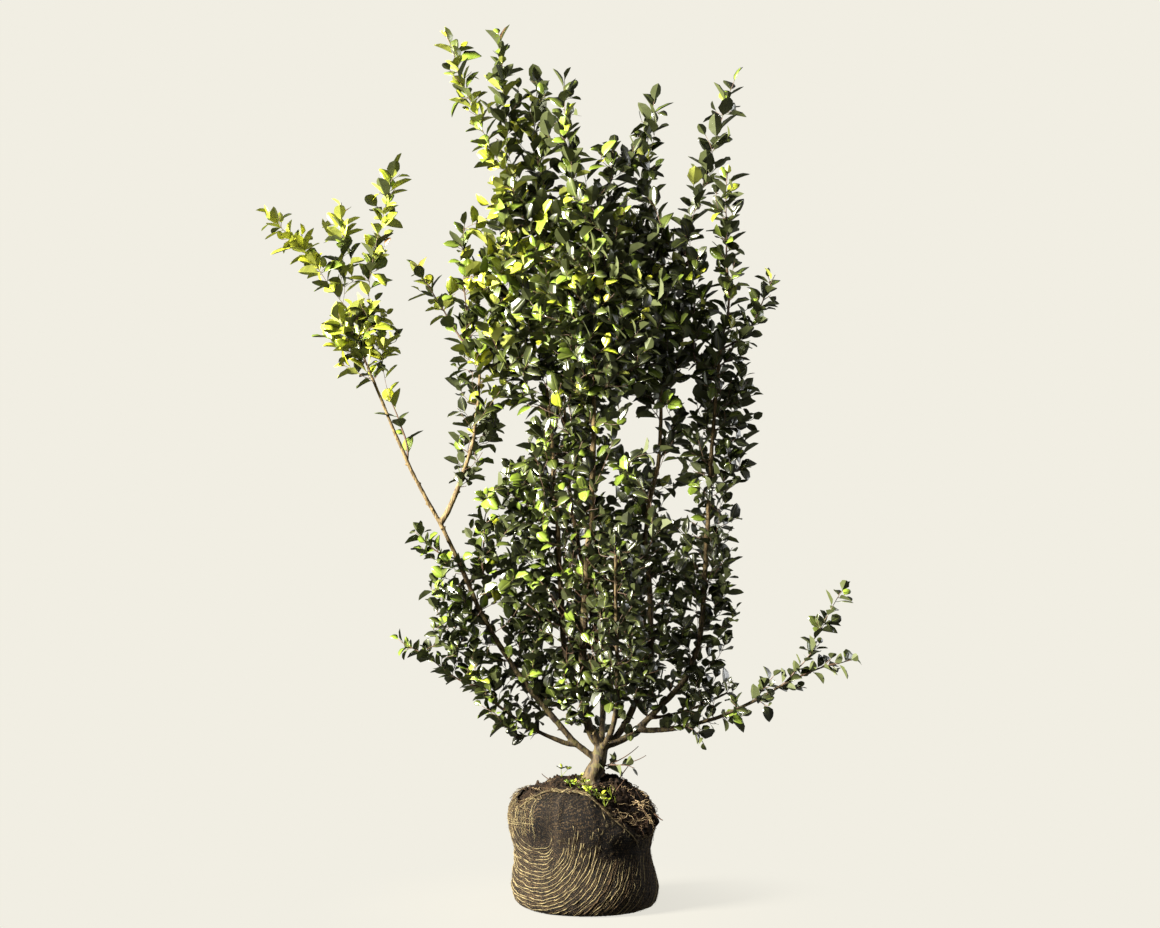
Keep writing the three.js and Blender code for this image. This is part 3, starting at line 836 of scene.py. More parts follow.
def leaf_faces():
    """Faces of one leaf and the part each belongs to: 0 upper side, 1 midrib, 2 underside."""
    rings, round_ = len(ALONG), 5
    quads = grid_faces(rings, round_)[:, ::-1]
    last = (rings - 1) * round_
    column = np.arange(round_)
    fan = np.stack([(column + 1) % round_ + last, column + last, np.full(round_, rings * round_)], 1)
    parts = np.array([0, 1, 0, 2, 2])
    return quads, fan, column[None].copy(), np.tile(parts, rings - 1), parts


# %% Where the leaves sit
GOLDEN = np.radians(137.5)
FULL_LENGTH, LONGER_ON_TOP = 28, 11  # in millimetres: at the foot of the crown, and how much more on top
CHANCE_LENGTHS = (0.75, 1.18)  # the least and most that chance makes of a leaf's full length
LEADER_GAP, TWIG_GAP = 9.2, 8.9  # in millimetres, between leaves that follow each other
WIDER_ON_TOP = 0.38  # how much more that gap is at the top of the crown
BARE_HEIGHTS = (0.42, 0.95)  # where stems show between the leaves
BESIDE_STEM = 10 * MM  # how far to a stem's side the leaves before it are thinned
BARED = 0.75  # the share of them that is left off
HEIGHT = 2  # the columns of a table of leaves
PLACE, WAY, OUT = slice(0, 3), slice(3, 6), slice(6, 9)
SHARE, LENGTH, SPRAY = 9, 10, 11


def leaves_on(line, radii, leads, random):
    """Leaves along one twig: where each sits, the twig's direction there, the way it points out, its
    share along the twig and its length. They follow each other round the twig by the golden angle."""
    run = run_of(line)
    height = line[-1][2]
    full = (FULL_LENGTH + LONGER_ON_TOP * smooth_step(height, 0.45, 1.25)) * MM
    gap = (LEADER_GAP if leads else TWIG_GAP) * MM * (1 + WIDER_ON_TOP * smooth_step(height, 0.5, 1.25))
    start = min(0.12 * run[-1], 20 * MM)
    stops = np.arange(start, run[-1], gap)
    stops = stops + random.uniform(-0.2, 0.2, len(stops)) * gap
    places = along_line(stops, run, line)
    thickness = np.interp(stops, run, radii)
    ways = unit(along_line(stops, run, unit(np.gradient(line, axis=0))))
    side = unit(np.cross(ways, [0.31, 0.87, 0.11]))
    turn = GOLDEN * np.arange(len(stops)) + random.uniform(0, 2 * np.pi)
    out = side * np.cos(turn)[:, None] + np.cross(ways, side) * np.sin(turn)[:, None]
    share = stops / run[-1]
    to_end = (run[-1] - stops) / full
    young = 0.5 + 0.5 * smooth_step(to_end, -0.1, 0.6)
    long = full * random.uniform(*CHANCE_LENGTHS, len(stops)) * young
    return places + out * thickness[:, None] * 0.6, ways, out, share, long


grown_leaves = []
for number, (line, radii, leads) in enumerate(shoots):
    places, ways, out, share, long = leaves_on(line, radii, leads, rng)
    grown_leaves.append(np.column_stack([places, ways, out, share, long, np.full(len(long), number)]))
grown_leaves = np.vstack(grown_leaves)
print(f"{len(grown_leaves)} leaves")


def before_a_stem(leaves, low, high):
    """Which leaves hang close before a stem, at heights from low to high: their middle lies within the
    stem's radius and BESIDE_STEM of its line, seen from the front, and nearer the front."""
    middles = leaves[:, PLACE] + leaves[:, OUT] * leaves[:, LENGTH, None] * 0.5
    before = np.zeros(len(leaves), bool)
    for line, radii in limbs.values():
        part = (line[:, 2] > low) & (line[:, 2] < high)
        if part.any():
            gaps = middles[:, None, [0, 2]] - line[part][None, :, [0, 2]]
            gaps = np.linalg.norm(gaps, axis=2) - radii[part] - BESIDE_STEM
            near = gaps.argmin(1)
            nearer = middles[:, 1] < line[part][near, 1]
            before |= nearer & (gaps[np.arange(len(gaps)), near] < 0)
    return before


bare = before_a_stem(grown_leaves, *BARE_HEIGHTS) & (rng.uniform(0, 1, len(grown_leaves)) < BARED)
grown_leaves = grown_leaves[~bare]
print(f"{bare.sum()} leaves left off before the stems")

# %% Colours dealt out by spray
LEAF_COLOURS = {
    "leaf_deep": "#20250a", "leaf_dark": "#394213", "leaf_green": "#617322", "leaf_fresh": "#909b28",
    "leaf_lime": "#b1b42d", "leaf_straw": "#cbb843", "leaf_bronze": "#6b4c28",
}
gloss = {"Coat_Weight": 0.6, "Coat_Roughness": 0.2}
leaf_finishes = [Finish(name, tint(code), 0.38, **gloss) for name, code in LEAF_COLOURS.items()]
ribs = [Finish("midrib_dark", tint("#626a2c"), 0.5), Finish("midrib_pale", tint("#b9bb55"), 0.5)]
backs = [Finish("underside_dark", tint("#3b411d"), 0.6), Finish("underside_pale", tint("#8b903c"), 0.6)]
FINISHES = [*leaf_finishes, *ribs, *backs]
SUN = unit(np.array([-0.62, -0.42, 0.66]))
GRADES = [0.24, 0.44, 0.64, 0.82]  # the least that a leaf's sun and painted light must come to, to be a grade lighter
SPRAY_CHANCE, OWN_CHANCE = 0.19, 0.17  # how far chance shifts a spray and a leaf of it between grades
GREEN, STRAW, BRONZE = 2, 5, 6  # places in LEAF_COLOURS
LEAF_ANGLE, CLOSER_AT_TIP = (52, 11), 22  # in degrees: mean and spread, and how much less at a tip
HALF_WIDTHS = (0.29, 0.39)  # as shares of a leaf's length
TEETH = (0, 0.07)  # as shares of the half width
FOLD = (24, 9)  # how far the halves rise from the midrib, in degrees: mean and spread
BEND, SWAY = (0.1, 0.07), (0, 0.05)  # how far the tip bends down and aside, as shares of the length


def sun_and_painted_light(places):
    """How light a leaf's colour is made, from 0 to 1: more on the left and at the top, and most of all in
    the open on the far left. Towards the top it is the leaf's own colour, as fresh growth there is
    yellower; lighter on the left and darker on the right is painted light and shade, from the lamp's side."""
    outer = smooth_step(-places[:, 0], 0.0, 0.34)
    left = smooth_step(-places[:, 0], -0.2, 0.15)
    high = smooth_step(places[:, 2], 0.55, 1.2)
    return np.clip(0.09 + 0.16 * left + 0.17 * high + 0.12 * outer + 0.3 * outer * high, 0, 1)


def dealt_tints(leaves, random):
    """Each leaf's finish: a grade from its sun and from painted light and shade, with a chance for its
    spray and one of its own. Low down few are lighter than green, and at some tips of high shoots they are
    straw or bronze."""
    sprays = leaves[:, SPRAY].astype(int)
    by_spray = random.normal(0, SPRAY_CHANCE, sprays.max() + 1)[sprays]
    light = sun_and_painted_light(leaves[:, PLACE]) + (by_spray + random.normal(0, OWN_CHANCE, len(leaves)))
    grade = np.digitize(light, GRADES)
    at_tip = leaves[:, SHARE] > 0.86
    height = leaves[:, HEIGHT]
    chance = random.uniform(0, 1, len(leaves))
    grade = np.where((height < 0.8) & (chance > 0.06), np.minimum(grade, GREEN), grade)
    grade = np.where(at_tip & (height > 0.8) & (light > 0.6) & (chance < 0.2), STRAW, grade)
    return np.where(at_tip & (height > 1.05) & (chance > 0.9), BRONZE, grade)


def leaf_frames(leaves, random):
    """Along, across and up for each leaf. It leaves the twig at about 50 degrees, less at the tip, and
    its upper side faces the twig's tip, turned some way towards the light."""
    ways, out, share = leaves[:, WAY], leaves[:, OUT], leaves[:, SHARE]
    angle = random.normal(*LEAF_ANGLE, len(leaves)) - CLOSER_AT_TIP * smooth_step(share, 0.8, 1.0)
    angle = np.radians(angle)[:, None]
    along = unit(ways * np.cos(angle) + out * np.sin(angle) + [0, 0, 0.12])
    face = ways + 0.45 * UP + 0.3 * SUN + random.normal(0, 0.22, along.shape)
    up = unit(face - (face * along).sum(1, keepdims=True) * along)
    return along, np.cross(up, along), up


def foliage(name, leaves, random, tint_of=None):
    """One joined mesh of leaves, with the given finish for each or one dealt out by its spray."""
    count = len(leaves)
    long = leaves[:, LENGTH]
    slim = 1.06 - 0.12 * smooth_step(leaves[:, HEIGHT], 0.4, 1.1)
    wide = long * random.uniform(*HALF_WIDTHS, count) * slim
    fold = np.radians(random.normal(*FOLD, count))
    bend, sway = random.normal(*BEND, count), random.normal(*SWAY, count)
    local = leaf_points(long, wide, fold, bend, sway, random.uniform(*TEETH, count))
    along, across, up = leaf_frames(leaves, random)
    frames = np.stack([along, across, up], 1)
    points = leaves[:, None, PLACE] + local @ frames
    quads, fan, foot, quad_parts, fan_parts = leaf_faces()
    groups = repeated((quads, fan, foot), count, local.shape[1])
    tint_of = dealt_tints(leaves, random) if tint_of is None else tint_of
    # Leaves of the lighter grades, which come partly from painted light, get the pale midrib and underside.
    bright = tint_of > GREEN
    numbers = np.stack([tint_of, len(leaf_finishes) + bright, len(leaf_finishes) + 2 + bright], 1)
    tints = [numbers[:, parts].ravel() for parts in (quad_parts, fan_parts, np.array([2]))]
    smooth = [np.tile(parts < 2, count) for parts in (quad_parts, fan_parts, np.array([2]))]
    tints, smooth = np.concatenate(tints), np.concatenate(smooth)
    return piece(name, points.reshape(-1, 3), groups, FINISHES, tints, smooth)


leaf_zones = zone_of(np.array([shoots[int(number)][0][-1] for number in grown_leaves[:, SPRAY]]))
mass_zones = dict(zip(MASSES, zone_of(np.array([spines[name][0].mean(0) for name in MASSES]))))
for number, zone in enumerate(ZONES):
    random = np.random.default_rng(SEED + number)
    leaves = foliage(f"foliage_{zone}", grown_leaves[leaf_zones == zone], random)
    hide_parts(*[name for name, own in mass_zones.items() if own == zone])

# %% [markdown]
# ## The root ball
# The ball is soil in a cup of jute cloth. Seen from its middle, every direction meets the ball's skin
# once, so one table of distances by direction holds its whole shape. Rays measure the table from the
# CAD nodes, and a blur takes the edges off their facets. The rim of the cloth is the steepest
# direction at which a ray still meets the wrap.

# %% The ball measured by direction
CENTRE = np.array([-2.0, 0.0, 105.0]) * MM
TURNS = np.radians(np.arange(0, 360, 2.0))
RISES = np.radians(np.arange(-90, 91, 2.0))


def ways_at(turn, rise):
    """Unit directions from their angle round the vertical and their angle above the level."""
    level = np.cos(rise)
    return np.stack([np.cos(turn) * level, np.sin(turn) * level, np.sin(rise)], -1)


def turn_from(turn, middle):
    """The angle round the vertical from one turn to another, between -pi and pi."""
    return np.mod(turn - middle + np.pi, 2 * np.pi) - np.pi


def reach_of(name, ways):
    """How far a node reaches from the middle along each way, and 0 where it is missed."""
    corners = triangles(name)

    def farthest(part):
        far = hits(corners, np.broadcast_to(CENTRE, part.shape), part)
        return np.where(np.isfinite(far), far, 0).max(1)

    return in_parts(farthest, ways, 1400)


def blurred(table, rounds):
    """Each value becomes the mean of itself, twice, and its neighbours: round the turn, then along
    the rise, where the first and last rows count again beyond the ends."""
    for _ in range(rounds):
        table = (2 * table + np.roll(table, 1, 0) + np.roll(table, -1, 0)) / 4
        if table.ndim > 1:
            wider = np.concatenate([table[:, :1], table, table[:, -1:]], 1)
            table = (2 * table + wider[:, :-2] + wider[:, 2:]) / 4
    return table


def looked_up(table, turn, rise):
    """The table's value between its entries, blended from the four nearest."""
    column = np.mod(turn, 2 * np.pi) / (TURNS[1] - TURNS[0])
    row = np.clip((rise - RISES[0]) / (RISES[1] - RISES[0]), 0, len(RISES) - 1.001)
    left, low = np.floor(column).astype(int), np.floor(row).astype(int)
    across, up = column - left, row - low
    left, right = left % len(TURNS), (left + 1) % len(TURNS)
    below = table[left, low] * (1 - across) + table[right, low] * across
    above = table[left, low + 1] * (1 - across) + table[right, low + 1] * across
    return below * (1 - up) + above * up


grid_ways = ways_at(*np.meshgrid(TURNS, RISES, indexing="ij"))
wrap_reach = reach_of("jute_wrap", grid_ways.reshape(-1, 3)).reshape(grid_ways.shape[:2])
soil_reach = reach_of("root_ball_soil", grid_ways.reshape(-1, 3)).reshape(grid_ways.shape[:2])
SKIN_REACH = blurred(np.maximum(wrap_reach, soil_reach), 10)
SOIL_REACH = blurred(np.where(soil_reach > 0, soil_reach, wrap_reach - 3 * MM), 5)
RIM = blurred(RISES[len(RISES) - 1 - np.argmax(wrap_reach[:, ::-1] > 0, axis=1)], 2)
for middle, spread, height in ((200, 22, 36), (145, 38, 39)):  # the rim sags on the left
    sag = np.exp(-((np.degrees(TURNS) - middle) / spread) ** 4)
    RIM = RIM + sag * (np.radians(height) - RIM)
print(f"rim of the cloth between {np.degrees(RIM.min()):.0f} and {np.degrees(RIM.max()):.0f} degrees up")

# %% [markdown]
# ## How the cloth was drawn round the ball
# A square of jute was gathered to one corner on the upper left of the ball, so its threads run round
# that corner like the contours of a hill. On the cloth laid flat, with a the way round and z the
# height, a thread at distance c from the corner is a = w(c) sin(t), z = -c cos(t). The width w grows
# faster than c to the right, where the cloth was pulled straight, and above the corner the thread is
# stretched towards the rim.

# %% The run of the threads
GATHER_TURN, GATHER_HEIGHT = np.radians(232), 142 * MM
BALL_RADIUS = 118 * MM
STEEP = 0.4  # how much of its height a thread keeps in the distance above the corner


def widening(distance, side):
    """w(c) / c, on the right (side over 0) and on the left."""
    return np.where(side > 0, 0.66 + 3.4 * (distance - 0.087), 1.9 + 2 * (distance - 0.087)).clip(0.55, 2.2)


def thread_distance(turn, height):
    """c at a place on the ball: the solution of c^2 = (a / (w/c))^2 + (s z)^2, by repeated guesses, with
    s = 1 below the corner and less above it."""
    way_round = turn_from(turn, GATHER_TURN) * BALL_RADIUS
    up = height - GATHER_HEIGHT
    up = np.where(up > 0, STEEP * up, up)
    distance = np.hypot(way_round, up)
    for _ in range(12):
        distance = (distance + np.hypot(way_round / widening(distance, way_round), up)) / 2
    return distance, np.arctan2(way_round / widening(distance, way_round), -up)


def bump_at(turn, height, at_turn, at_height, wide, high):
    """A smooth hill on the ball: e^-(x^2 + y^2), with x and y the distances round and up in its sizes."""
    x = turn_from(turn, at_turn) * BALL_RADIUS / wide
    y = (height - at_height) / high
    return np.exp(-x * x - y * y)


def cloth_relief(turn, height):
    """How far the cloth stands off the ball's measured skin: a dent at the corner where it was
    gathered, a fold that rises from it, soft rolls along the threads, and unevenness."""
    distance, angle = thread_distance(turn, height)
    places = ways_at(turn, 0 * turn) * BALL_RADIUS + np.stack([0 * turn, 0 * turn, height], -1)
    dent = -13 * bump_at(turn, height, GATHER_TURN + 0.1, GATHER_HEIGHT - 10 * MM, 27 * MM, 42 * MM)
    fold = 4 * bump_at(distance / BALL_RADIUS, angle, 62 * MM / BALL_RADIUS, 1.9, 9 * MM, 0.7)
    left = smooth_step(-angle, -0.9, 0.2)
    rolls = 0.9 * left * np.sin(distance * 2 * np.pi / (19 * MM)) * smooth_step(distance, 40 * MM, 70 * MM)
    uneven = 1.6 * noise(places, 34 * MM, SEED + 20, 3) + 0.6 * noise(places, 7 * MM, SEED + 21, 3) - 2
    waist = -4 * np.exp(-((height - 80 * MM) / (30 * MM)) ** 2)
    return (dent + fold + rolls + uneven + waist) * MM * smooth_step(height, 2 * MM, 22 * MM)


def shade_patch_at(turn, height):
    """A patch of painted shade on the cloth under the bare soil of the right shoulder, where the threads
    also lie matted deeper in it.
    """
    return bump_at(turn, height, np.radians(309), 128 * MM, 54 * MM, 32 * MM)


def rim_at(turn):
    """How steeply the rim of the cloth lies above the ball's middle: the measured rim, torn a little,
    with a notch beside the corner."""
    measured_rim = np.interp(np.mod(turn, 2 * np.pi), np.append(TURNS, 2 * np.pi), np.append(RIM, RIM[0]))
    round_ball = ways_at(turn, 0 * turn) * BALL_RADIUS
    torn = 1.3 * noise(round_ball, 11 * MM, SEED + 22, 3)
    notch = 4 * np.exp(-((np.mod(turn, 2 * np.pi) - np.radians(204)) / np.radians(9)) ** 2)
    return measured_rim + np.radians(torn - notch)


# %% [markdown]
# ## The cloth
# The cloth is a grid of columns round the ball and rows from the middle of its underside up to the
# rim, over the rim and a little way down inside. Its weave is a pattern on the cloth's own
# coordinates: the distance c across the threads and the angle t along them. Coarse pale threads lie
# half sunk in it as real tubes, because they catch the light and stand out from the outline.

# %% Cloth piece
def cloth_point(turn, rise, lift=0.0):
    """A point of the cloth in a direction from the ball's middle."""
    reach = looked_up(SKIN_REACH, turn, rise)
    height = CENTRE[2] + reach * np.sin(rise)
    reach = reach + cloth_relief(turn, height) + lift
    points = CENTRE + ways_at(turn, rise) * reach[..., None]
    points[..., 2] = np.where(points[..., 2] < 1.2 * MM, 0.0, points[..., 2])
    return points


CLOTH_COLUMNS, CLOTH_ROWS, LINING_ROWS = 300, 130, 26
share = np.concatenate([np.linspace(0, 1, CLOTH_ROWS), [1.004], np.linspace(0.998, 0.74, LINING_ROWS)])
lift = np.concatenate([np.zeros(CLOTH_ROWS), [-1.0], np.linspace(-2.2, -4.5, LINING_ROWS)]) * MM
cloth_turn = 2 * np.pi * np.arange(CLOTH_COLUMNS) / CLOTH_COLUMNS
share, turn = np.meshgrid(share, cloth_turn, indexing="ij")
rise = -np.pi / 2 + 0.02 + share * (rim_at(turn) + np.pi / 2 - 0.02)
cloth_points = cloth_point(turn, rise, lift[:, None])
across, along = thread_distance(turn, cloth_points[..., 2])
cloth_marks = np.stack([across / MM, along * 120], -1)

cloth = Finish("jute_cloth", tint("#4b3a27"), 0.95, Specular_IOR_Level=0.15)
marks = cloth.add("ShaderNodeUVMap", {"uv_map": "weave"})
split = cloth.add("ShaderNodeSeparateXYZ", inputs={"Vector": marks})
weft = Value(cloth, split.socket.node.outputs[0])
warp = Value(cloth, split.socket.node.outputs[1])
place = cloth.place()
# The patch of painted shade on the right shoulder, read from the cloth's own coordinates.
shade_patch = Value(cloth, cloth.add("ShaderNodeUVMap", {"uv_map": "shade_patch"}).socket)
shade_patch = cloth.add("ShaderNodeSeparateXYZ", inputs={"Vector": shade_patch})
waver = cloth.cloud(place, 6 * MM, 4, 0.7) * 7
stain = cloth.cloud(place, 42 * MM, 4)
grain = cloth.cloud(place, 2.2 * MM, 4, 0.75)
tufts = cloth.cloud(place, 5 * MM, 4, 0.7)
weave = (weft + waver).wave(1 / 2.4) * 0.22 + (warp + waver).wave(1 / 3.1) * 0.14 + grain + tufts * 0.5
clean = cloth.blend(weave.between(0.94, 1.3), tint("#040201"), tint("#5a4831"))
dirt_and_shade_colour = cloth.blend(weave.between(0.98, 1.36), tint("#050301"), tint("#5a4933"))
# Real stains from a cloud, and the patch of painted shade on the right shoulder, turn the cloth darker.
dirt = (stain * 0.8 + shade_patch * 0.6).between(0.4, 0.85)
cloth.drive(Base_Color=cloth.blend(dirt, clean, dirt_and_shade_colour), Roughness=grain * 0.2 + 0.8)
cloth.relief(weave, 1.1 * MM)
cap = np.arange(CLOTH_COLUMNS)[::-1][None]
cloth_faces = [grid_faces(len(cloth_points), CLOTH_COLUMNS), cap]
wrap = piece("jute_cloth", cloth_points.reshape(-1, 3), cloth_faces, [cloth])


def mark(obj, layer, values):
    """Gives a mesh its own coordinates for a pattern, one pair for each vertex."""
    corners = read(obj.data.loops, "vertex_index", 1, int)
    obj.data.uv_layers.new(name=layer).data.foreach_set("uv", values[corners].ravel())


mark(wrap, "weave", cloth_marks.reshape(-1, 2))
# The patch of painted shade, given to each point of the cloth.
how_shaded = shade_patch_at(turn, cloth_points[..., 2])
mark(wrap, "shade_patch", np.stack([how_shaded, how_shaded], -1).reshape(-1, 2))
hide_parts("jute_wrap")

# %% Threads on the cloth
def on_cloth(way_round, up, lift):
    """The point of the cloth at a distance round the ball from the gathered corner and a height above
    it. The rise there is found by repeated guesses from the height."""
    turn = GATHER_TURN + way_round / BALL_RADIUS
    height = GATHER_HEIGHT + up
    rise = np.arcsin(np.clip((height - CENTRE[2]) / (130 * MM), -0.95, 0.95))
    for _ in range(8):
        slope = (height - CENTRE[2]) / looked_up(SKIN_REACH, turn, rise)
        rise = (rise + np.arcsin(np.clip(slope, -0.99, 0.99))) / 2
    return cloth_point(turn, rise, lift), rise < rim_at(turn) - 0.01


def stretches(good, least):
    """The start and end of each stretch of True values that is long enough."""
    edges = np.flatnonzero(np.diff(np.concatenate([[0], good.astype(int), [0]]))).reshape(-1, 2)
    return edges[edges[:, 1] - edges[:, 0] > least]


THREAD_POINTS = 110
THREAD_SWAY = 2.4 * MM  # how far a thread drifts to its side
NEAR_CORNER, MATTED = 80 * MM, 135 * MM  # where threads end early, and where they end in matted cloth
RINGS = np.arange(34, 300, 6.3) * MM  # the distances c of the coarse threads, each with a fine one
COARSE, FINE = (0.7, 1.0), (0.4, 0.6)  # radii in millimetres
BESIDE = (2.4, 3.9)  # how far a fine thread lies from its coarse one, in millimetres
random = np.random.default_rng(SEED + 30)
thread_paths, thread_radii, thread_kinds = [], [], []


def as_path(points, count):
    """The same line with this many points, equally spaced."""
    path, _ = resampled(points, np.zeros(len(points)), 2 * MM)
    return picked(path, count)


def lay(way_round, up, thick, kind):
    """Lays a thread along a line on the cloth, wherever that is above the ground and below the rim. It
    dips into the weave and comes out again, and its thickness varies."""
    flat = np.stack([way_round, up, np.full(len(up), 300 * MM * len(thread_paths))], -1)
    drift = [noise(flat, 22 * MM, SEED + 31, 4), noise(flat, 22 * MM, SEED + 32, 4)]
    drift = np.stack(drift, -1) * THREAD_SWAY
    dip = (noise(flat, 9 * MM, SEED + 35, 3) * 0.8 - 0.2) * thick
    # Threads lie deeper in the cloth where the patch of painted shade is.
    dip = dip - 2.6 * thick * shade_patch_at(GATHER_TURN + way_round / BALL_RADIUS, GATHER_HEIGHT + up)
    points, on = on_cloth(way_round + drift[:, 0], up + drift[:, 1], dip)
    on &= (GATHER_HEIGHT + up + drift[:, 1] > 3 * MM) & (np.abs(way_round) < np.pi * BALL_RADIUS)
    for start, end in stretches(on, 8):
        path = as_path(points[start:end], THREAD_POINTS)
        thread_paths.append(path)
        thread_radii.append(thick * (1 + 0.35 * noise(path, 4 * MM, SEED + 33, 3)))
        thread_kinds.append(kind)


def ring_thread(distance, ends, thick, kind):
    """A thread at a distance c from the corner, between two angles t along it."""
    angle = np.linspace(*ends, 420)
    width = distance * widening(distance, np.sin(angle))
    up = -distance * np.cos(angle)
    lay(width * np.sin(angle), np.where(up > 0, up / STEEP, up), thick, kind)


for distance in RINGS:
    distance = distance + random.normal(0, 0.9) * MM
    near = distance < NEAR_CORNER
    last = random.uniform(0.2, 1.6) if near else random.uniform(1.36, 1.64)
    ends = (-1.5 if near else -2.4, last if distance < MATTED else 2.4)
    ring_thread(distance, ends, random.uniform(*COARSE) * MM, int(random.uniform() < 0.3))
    ring_thread(distance + random.uniform(*BESIDE) * MM, ends, random.uniform(*FINE) * MM, 1)
print(f"{len(thread_paths)} weft threads")


def strands(name, paths, radii, sides, finishes, tints=None, slot=None):
    """One piece made of many tubes, with a finish for each tube."""
    points, quads, ends = tubes(np.stack(paths), np.stack(radii), sides)
    each = np.zeros(len(paths), int) if tints is None else np.asarray(tints)
    rings = len(quads) // len(paths)
    numbers = np.concatenate([np.repeat(each, rings), each, each])
    return piece(name, points, [quads, ends], finishes, numbers)


def twisted(name, light, dark):
    """A finish of spun fibre: darker where soil has rubbed into it."""
    finish = Finish(name, tint(light), 0.85, Specular_IOR_Level=0.2)
    place = finish.place()
    dirt = finish.cloud(place, 14 * MM, 4)
    fibre = finish.cloud(place, 1.3 * MM, 2, 0.7)
    finish.drive(Base_Color=finish.blend((dirt + fibre * 0.5).between(0.62, 0.98), tint(light), tint(dark)))
    finish.relief(fibre, 0.4 * MM)
    return finish


PALE_JUTE = twisted("pale_jute", "#6d6244", "#21190e")
WARM_JUTE = twisted("warm_jute", "#41331f", "#150e07")
strands("weft_threads", thread_paths, thread_radii, 4, [PALE_JUTE, WARM_JUTE], thread_kinds, "jute")

# %% [markdown]
# ## The loose corner and the frayed rim
# On the upper left the cloth is knitted loosely: wavy threads cross about every three millimetres. All
# round the rim cut threads have come loose and hang or stand off, and fine fibres stick out of the
# whole cloth. They are laid by the same rule as the threads: a line on the cloth, then a lift off it.

# %% Loose threads and fibres
def wavy(start, end, waves, swing, count=60):
    """A line on the flat cloth from start to end, in (way round, up), that swings to both sides."""
    share = np.linspace(0, 1, count)[:, None]
    line = start + (end - start) * share
    across = unit(np.array([-(end - start)[1], (end - start)[0]]))
    return line + across * swing * np.sin(2 * np.pi * waves * share + random.uniform(0, 6))


def loose_thread(start, end, spread, waves, count):
    """The stretches on the cloth of a wavy thread between two places near the gathered corner, each in
    millimetres round and up from it and shifted by chance."""
    ends = np.array([start, end]) * MM + random.normal(0, spread, (2, 2)) * MM
    line = wavy(*ends, random.uniform(*waves), 0.9 * MM, count)
    points, on = on_cloth(*line.T, random.uniform(-0.2, 0.7) * MM)
    return [points[first:last] for first, last in stretches(on, 12)]


loose = []
for up in np.arange(-6, 46, 2.3):
    loose += loose_thread((-118, up), (random.uniform(-60, -6), up + 6), 1.6, (10, 18), 200)
for way_round in np.arange(-116, -12, 3.1):
    loose += loose_thread((way_round, random.uniform(-26, 22)), (way_round, 50), 2.6, (5, 11), 120)
EDGE_STRANDS, RIM_ENDS, FIBRES = 26, 320, 2600
RIM_END_LENGTHS, FIBRE_LENGTHS = (7, 26), (2, 7)  # in millimetres
LOOSE_RADII, EDGE_THICKER, FIBRE_RADIUS = (0.22, 0.5), 1.8, 0.17 * MM  # the first in millimetres
edge_strands = range(len(loose), len(loose) + EDGE_STRANDS)
for strand in edge_strands:
    turns = np.radians(np.linspace(random.uniform(196, 235), random.uniform(285, 330), 160))
    drift = noise(np.stack([turns, turns * 0, turns * 0 + strand], -1), 0.12, SEED + 36, 3)
    rises = rim_at(turns) - np.radians(random.uniform(-0.6, 4.5) + 1.6 * drift)
    loose.append(cloth_point(turns, rises, (1.0 + 1.2 * drift) * MM))
for turn in random.uniform(0, 2 * np.pi, RIM_ENDS):
    length = random.uniform(*RIM_END_LENGTHS) * MM
    start_rise = rim_at(np.array(turn)) - random.uniform(0.0, 0.05)
    share = np.linspace(0, 1, 24)
    heading = random.normal(0, 0.9)
    turns = turn + share * length / BALL_RADIUS * np.sin(heading) + 0.02 * np.sin(share * 6 + turn * 9)
    rises = start_rise + share * length / (150 * MM) * np.cos(heading) * random.choice([-1, -1, 1])
    off = (1.2 + 5 * random.uniform(0, 1) * share ** 2) * MM
    loose.append(cloth_point(turns, np.minimum(rises, start_rise + 0.06), off))
paths = [as_path(path, 48) for path in loose]
thick = [random.uniform(*LOOSE_RADII) * MM for _ in paths]
radii = [own * (1 + 0.3 * noise(path, 4 * MM, SEED + 34, 2)) for own, path in zip(thick, paths)]
for strand in edge_strands:
    radii[strand] = radii[strand] * EDGE_THICKER
strands("loose_threads", paths, radii, 4, [PALE_JUTE, WARM_JUTE], random.integers(0, 2, len(paths)), "jute")

fibre_turns, fibre_share = random.uniform(0, 2 * np.pi, FIBRES), random.uniform(0.3, 1.0, FIBRES) ** 0.7
fibre_rises = -np.pi / 2 + fibre_share * (rim_at(fibre_turns) + np.pi / 2)
steps = np.linspace(0, 1, 5)
bends = random.normal(0, 1, (2, FIBRES, 1)) * steps ** 1.5
lengths = random.uniform(*FIBRE_LENGTHS, (FIBRES, 1)) * MM
fibre_paths = cloth_point(
    fibre_turns[:, None] + bends[0] * lengths / BALL_RADIUS,
    fibre_rises[:, None] + bends[1] * lengths / BALL_RADIUS,
    lengths * steps * random.uniform(0.1, 0.6, (FIBRES, 1)),
)
fibre_radii = np.broadcast_to(FIBRE_RADIUS * (1 - 0.6 * steps), (FIBRES, len(steps)))
fibre_kinds = random.integers(0, 2, FIBRES)
strands("jute_fibres", fibre_paths, fibre_radii, 3, [PALE_JUTE, WARM_JUTE], fibre_kinds, "jute")

# %% [markdown]
# ## The soil
# The soil shows on top and where the cloth has slipped off the right front shoulder. It is the same
# table of distances, roughened by noise: rounded crumbs stand out where the noise is folded at zero,
# and loose clods lie on it. It lies a little lower behind the loose corner of the cloth on the left.

# %% Soil, clods and rootlets
MOUNDS = [  # turn and rise in degrees, spread in degrees, height in mm
    (186, 40, (30, 15), -3), (35, 62, (22, 12), 13), (140, 64, (16, 9), 9), (262, 52, (14, 8), 4),
]
UNDER_CLOTH = 13 * MM  # how far the soil draws back under the cloth


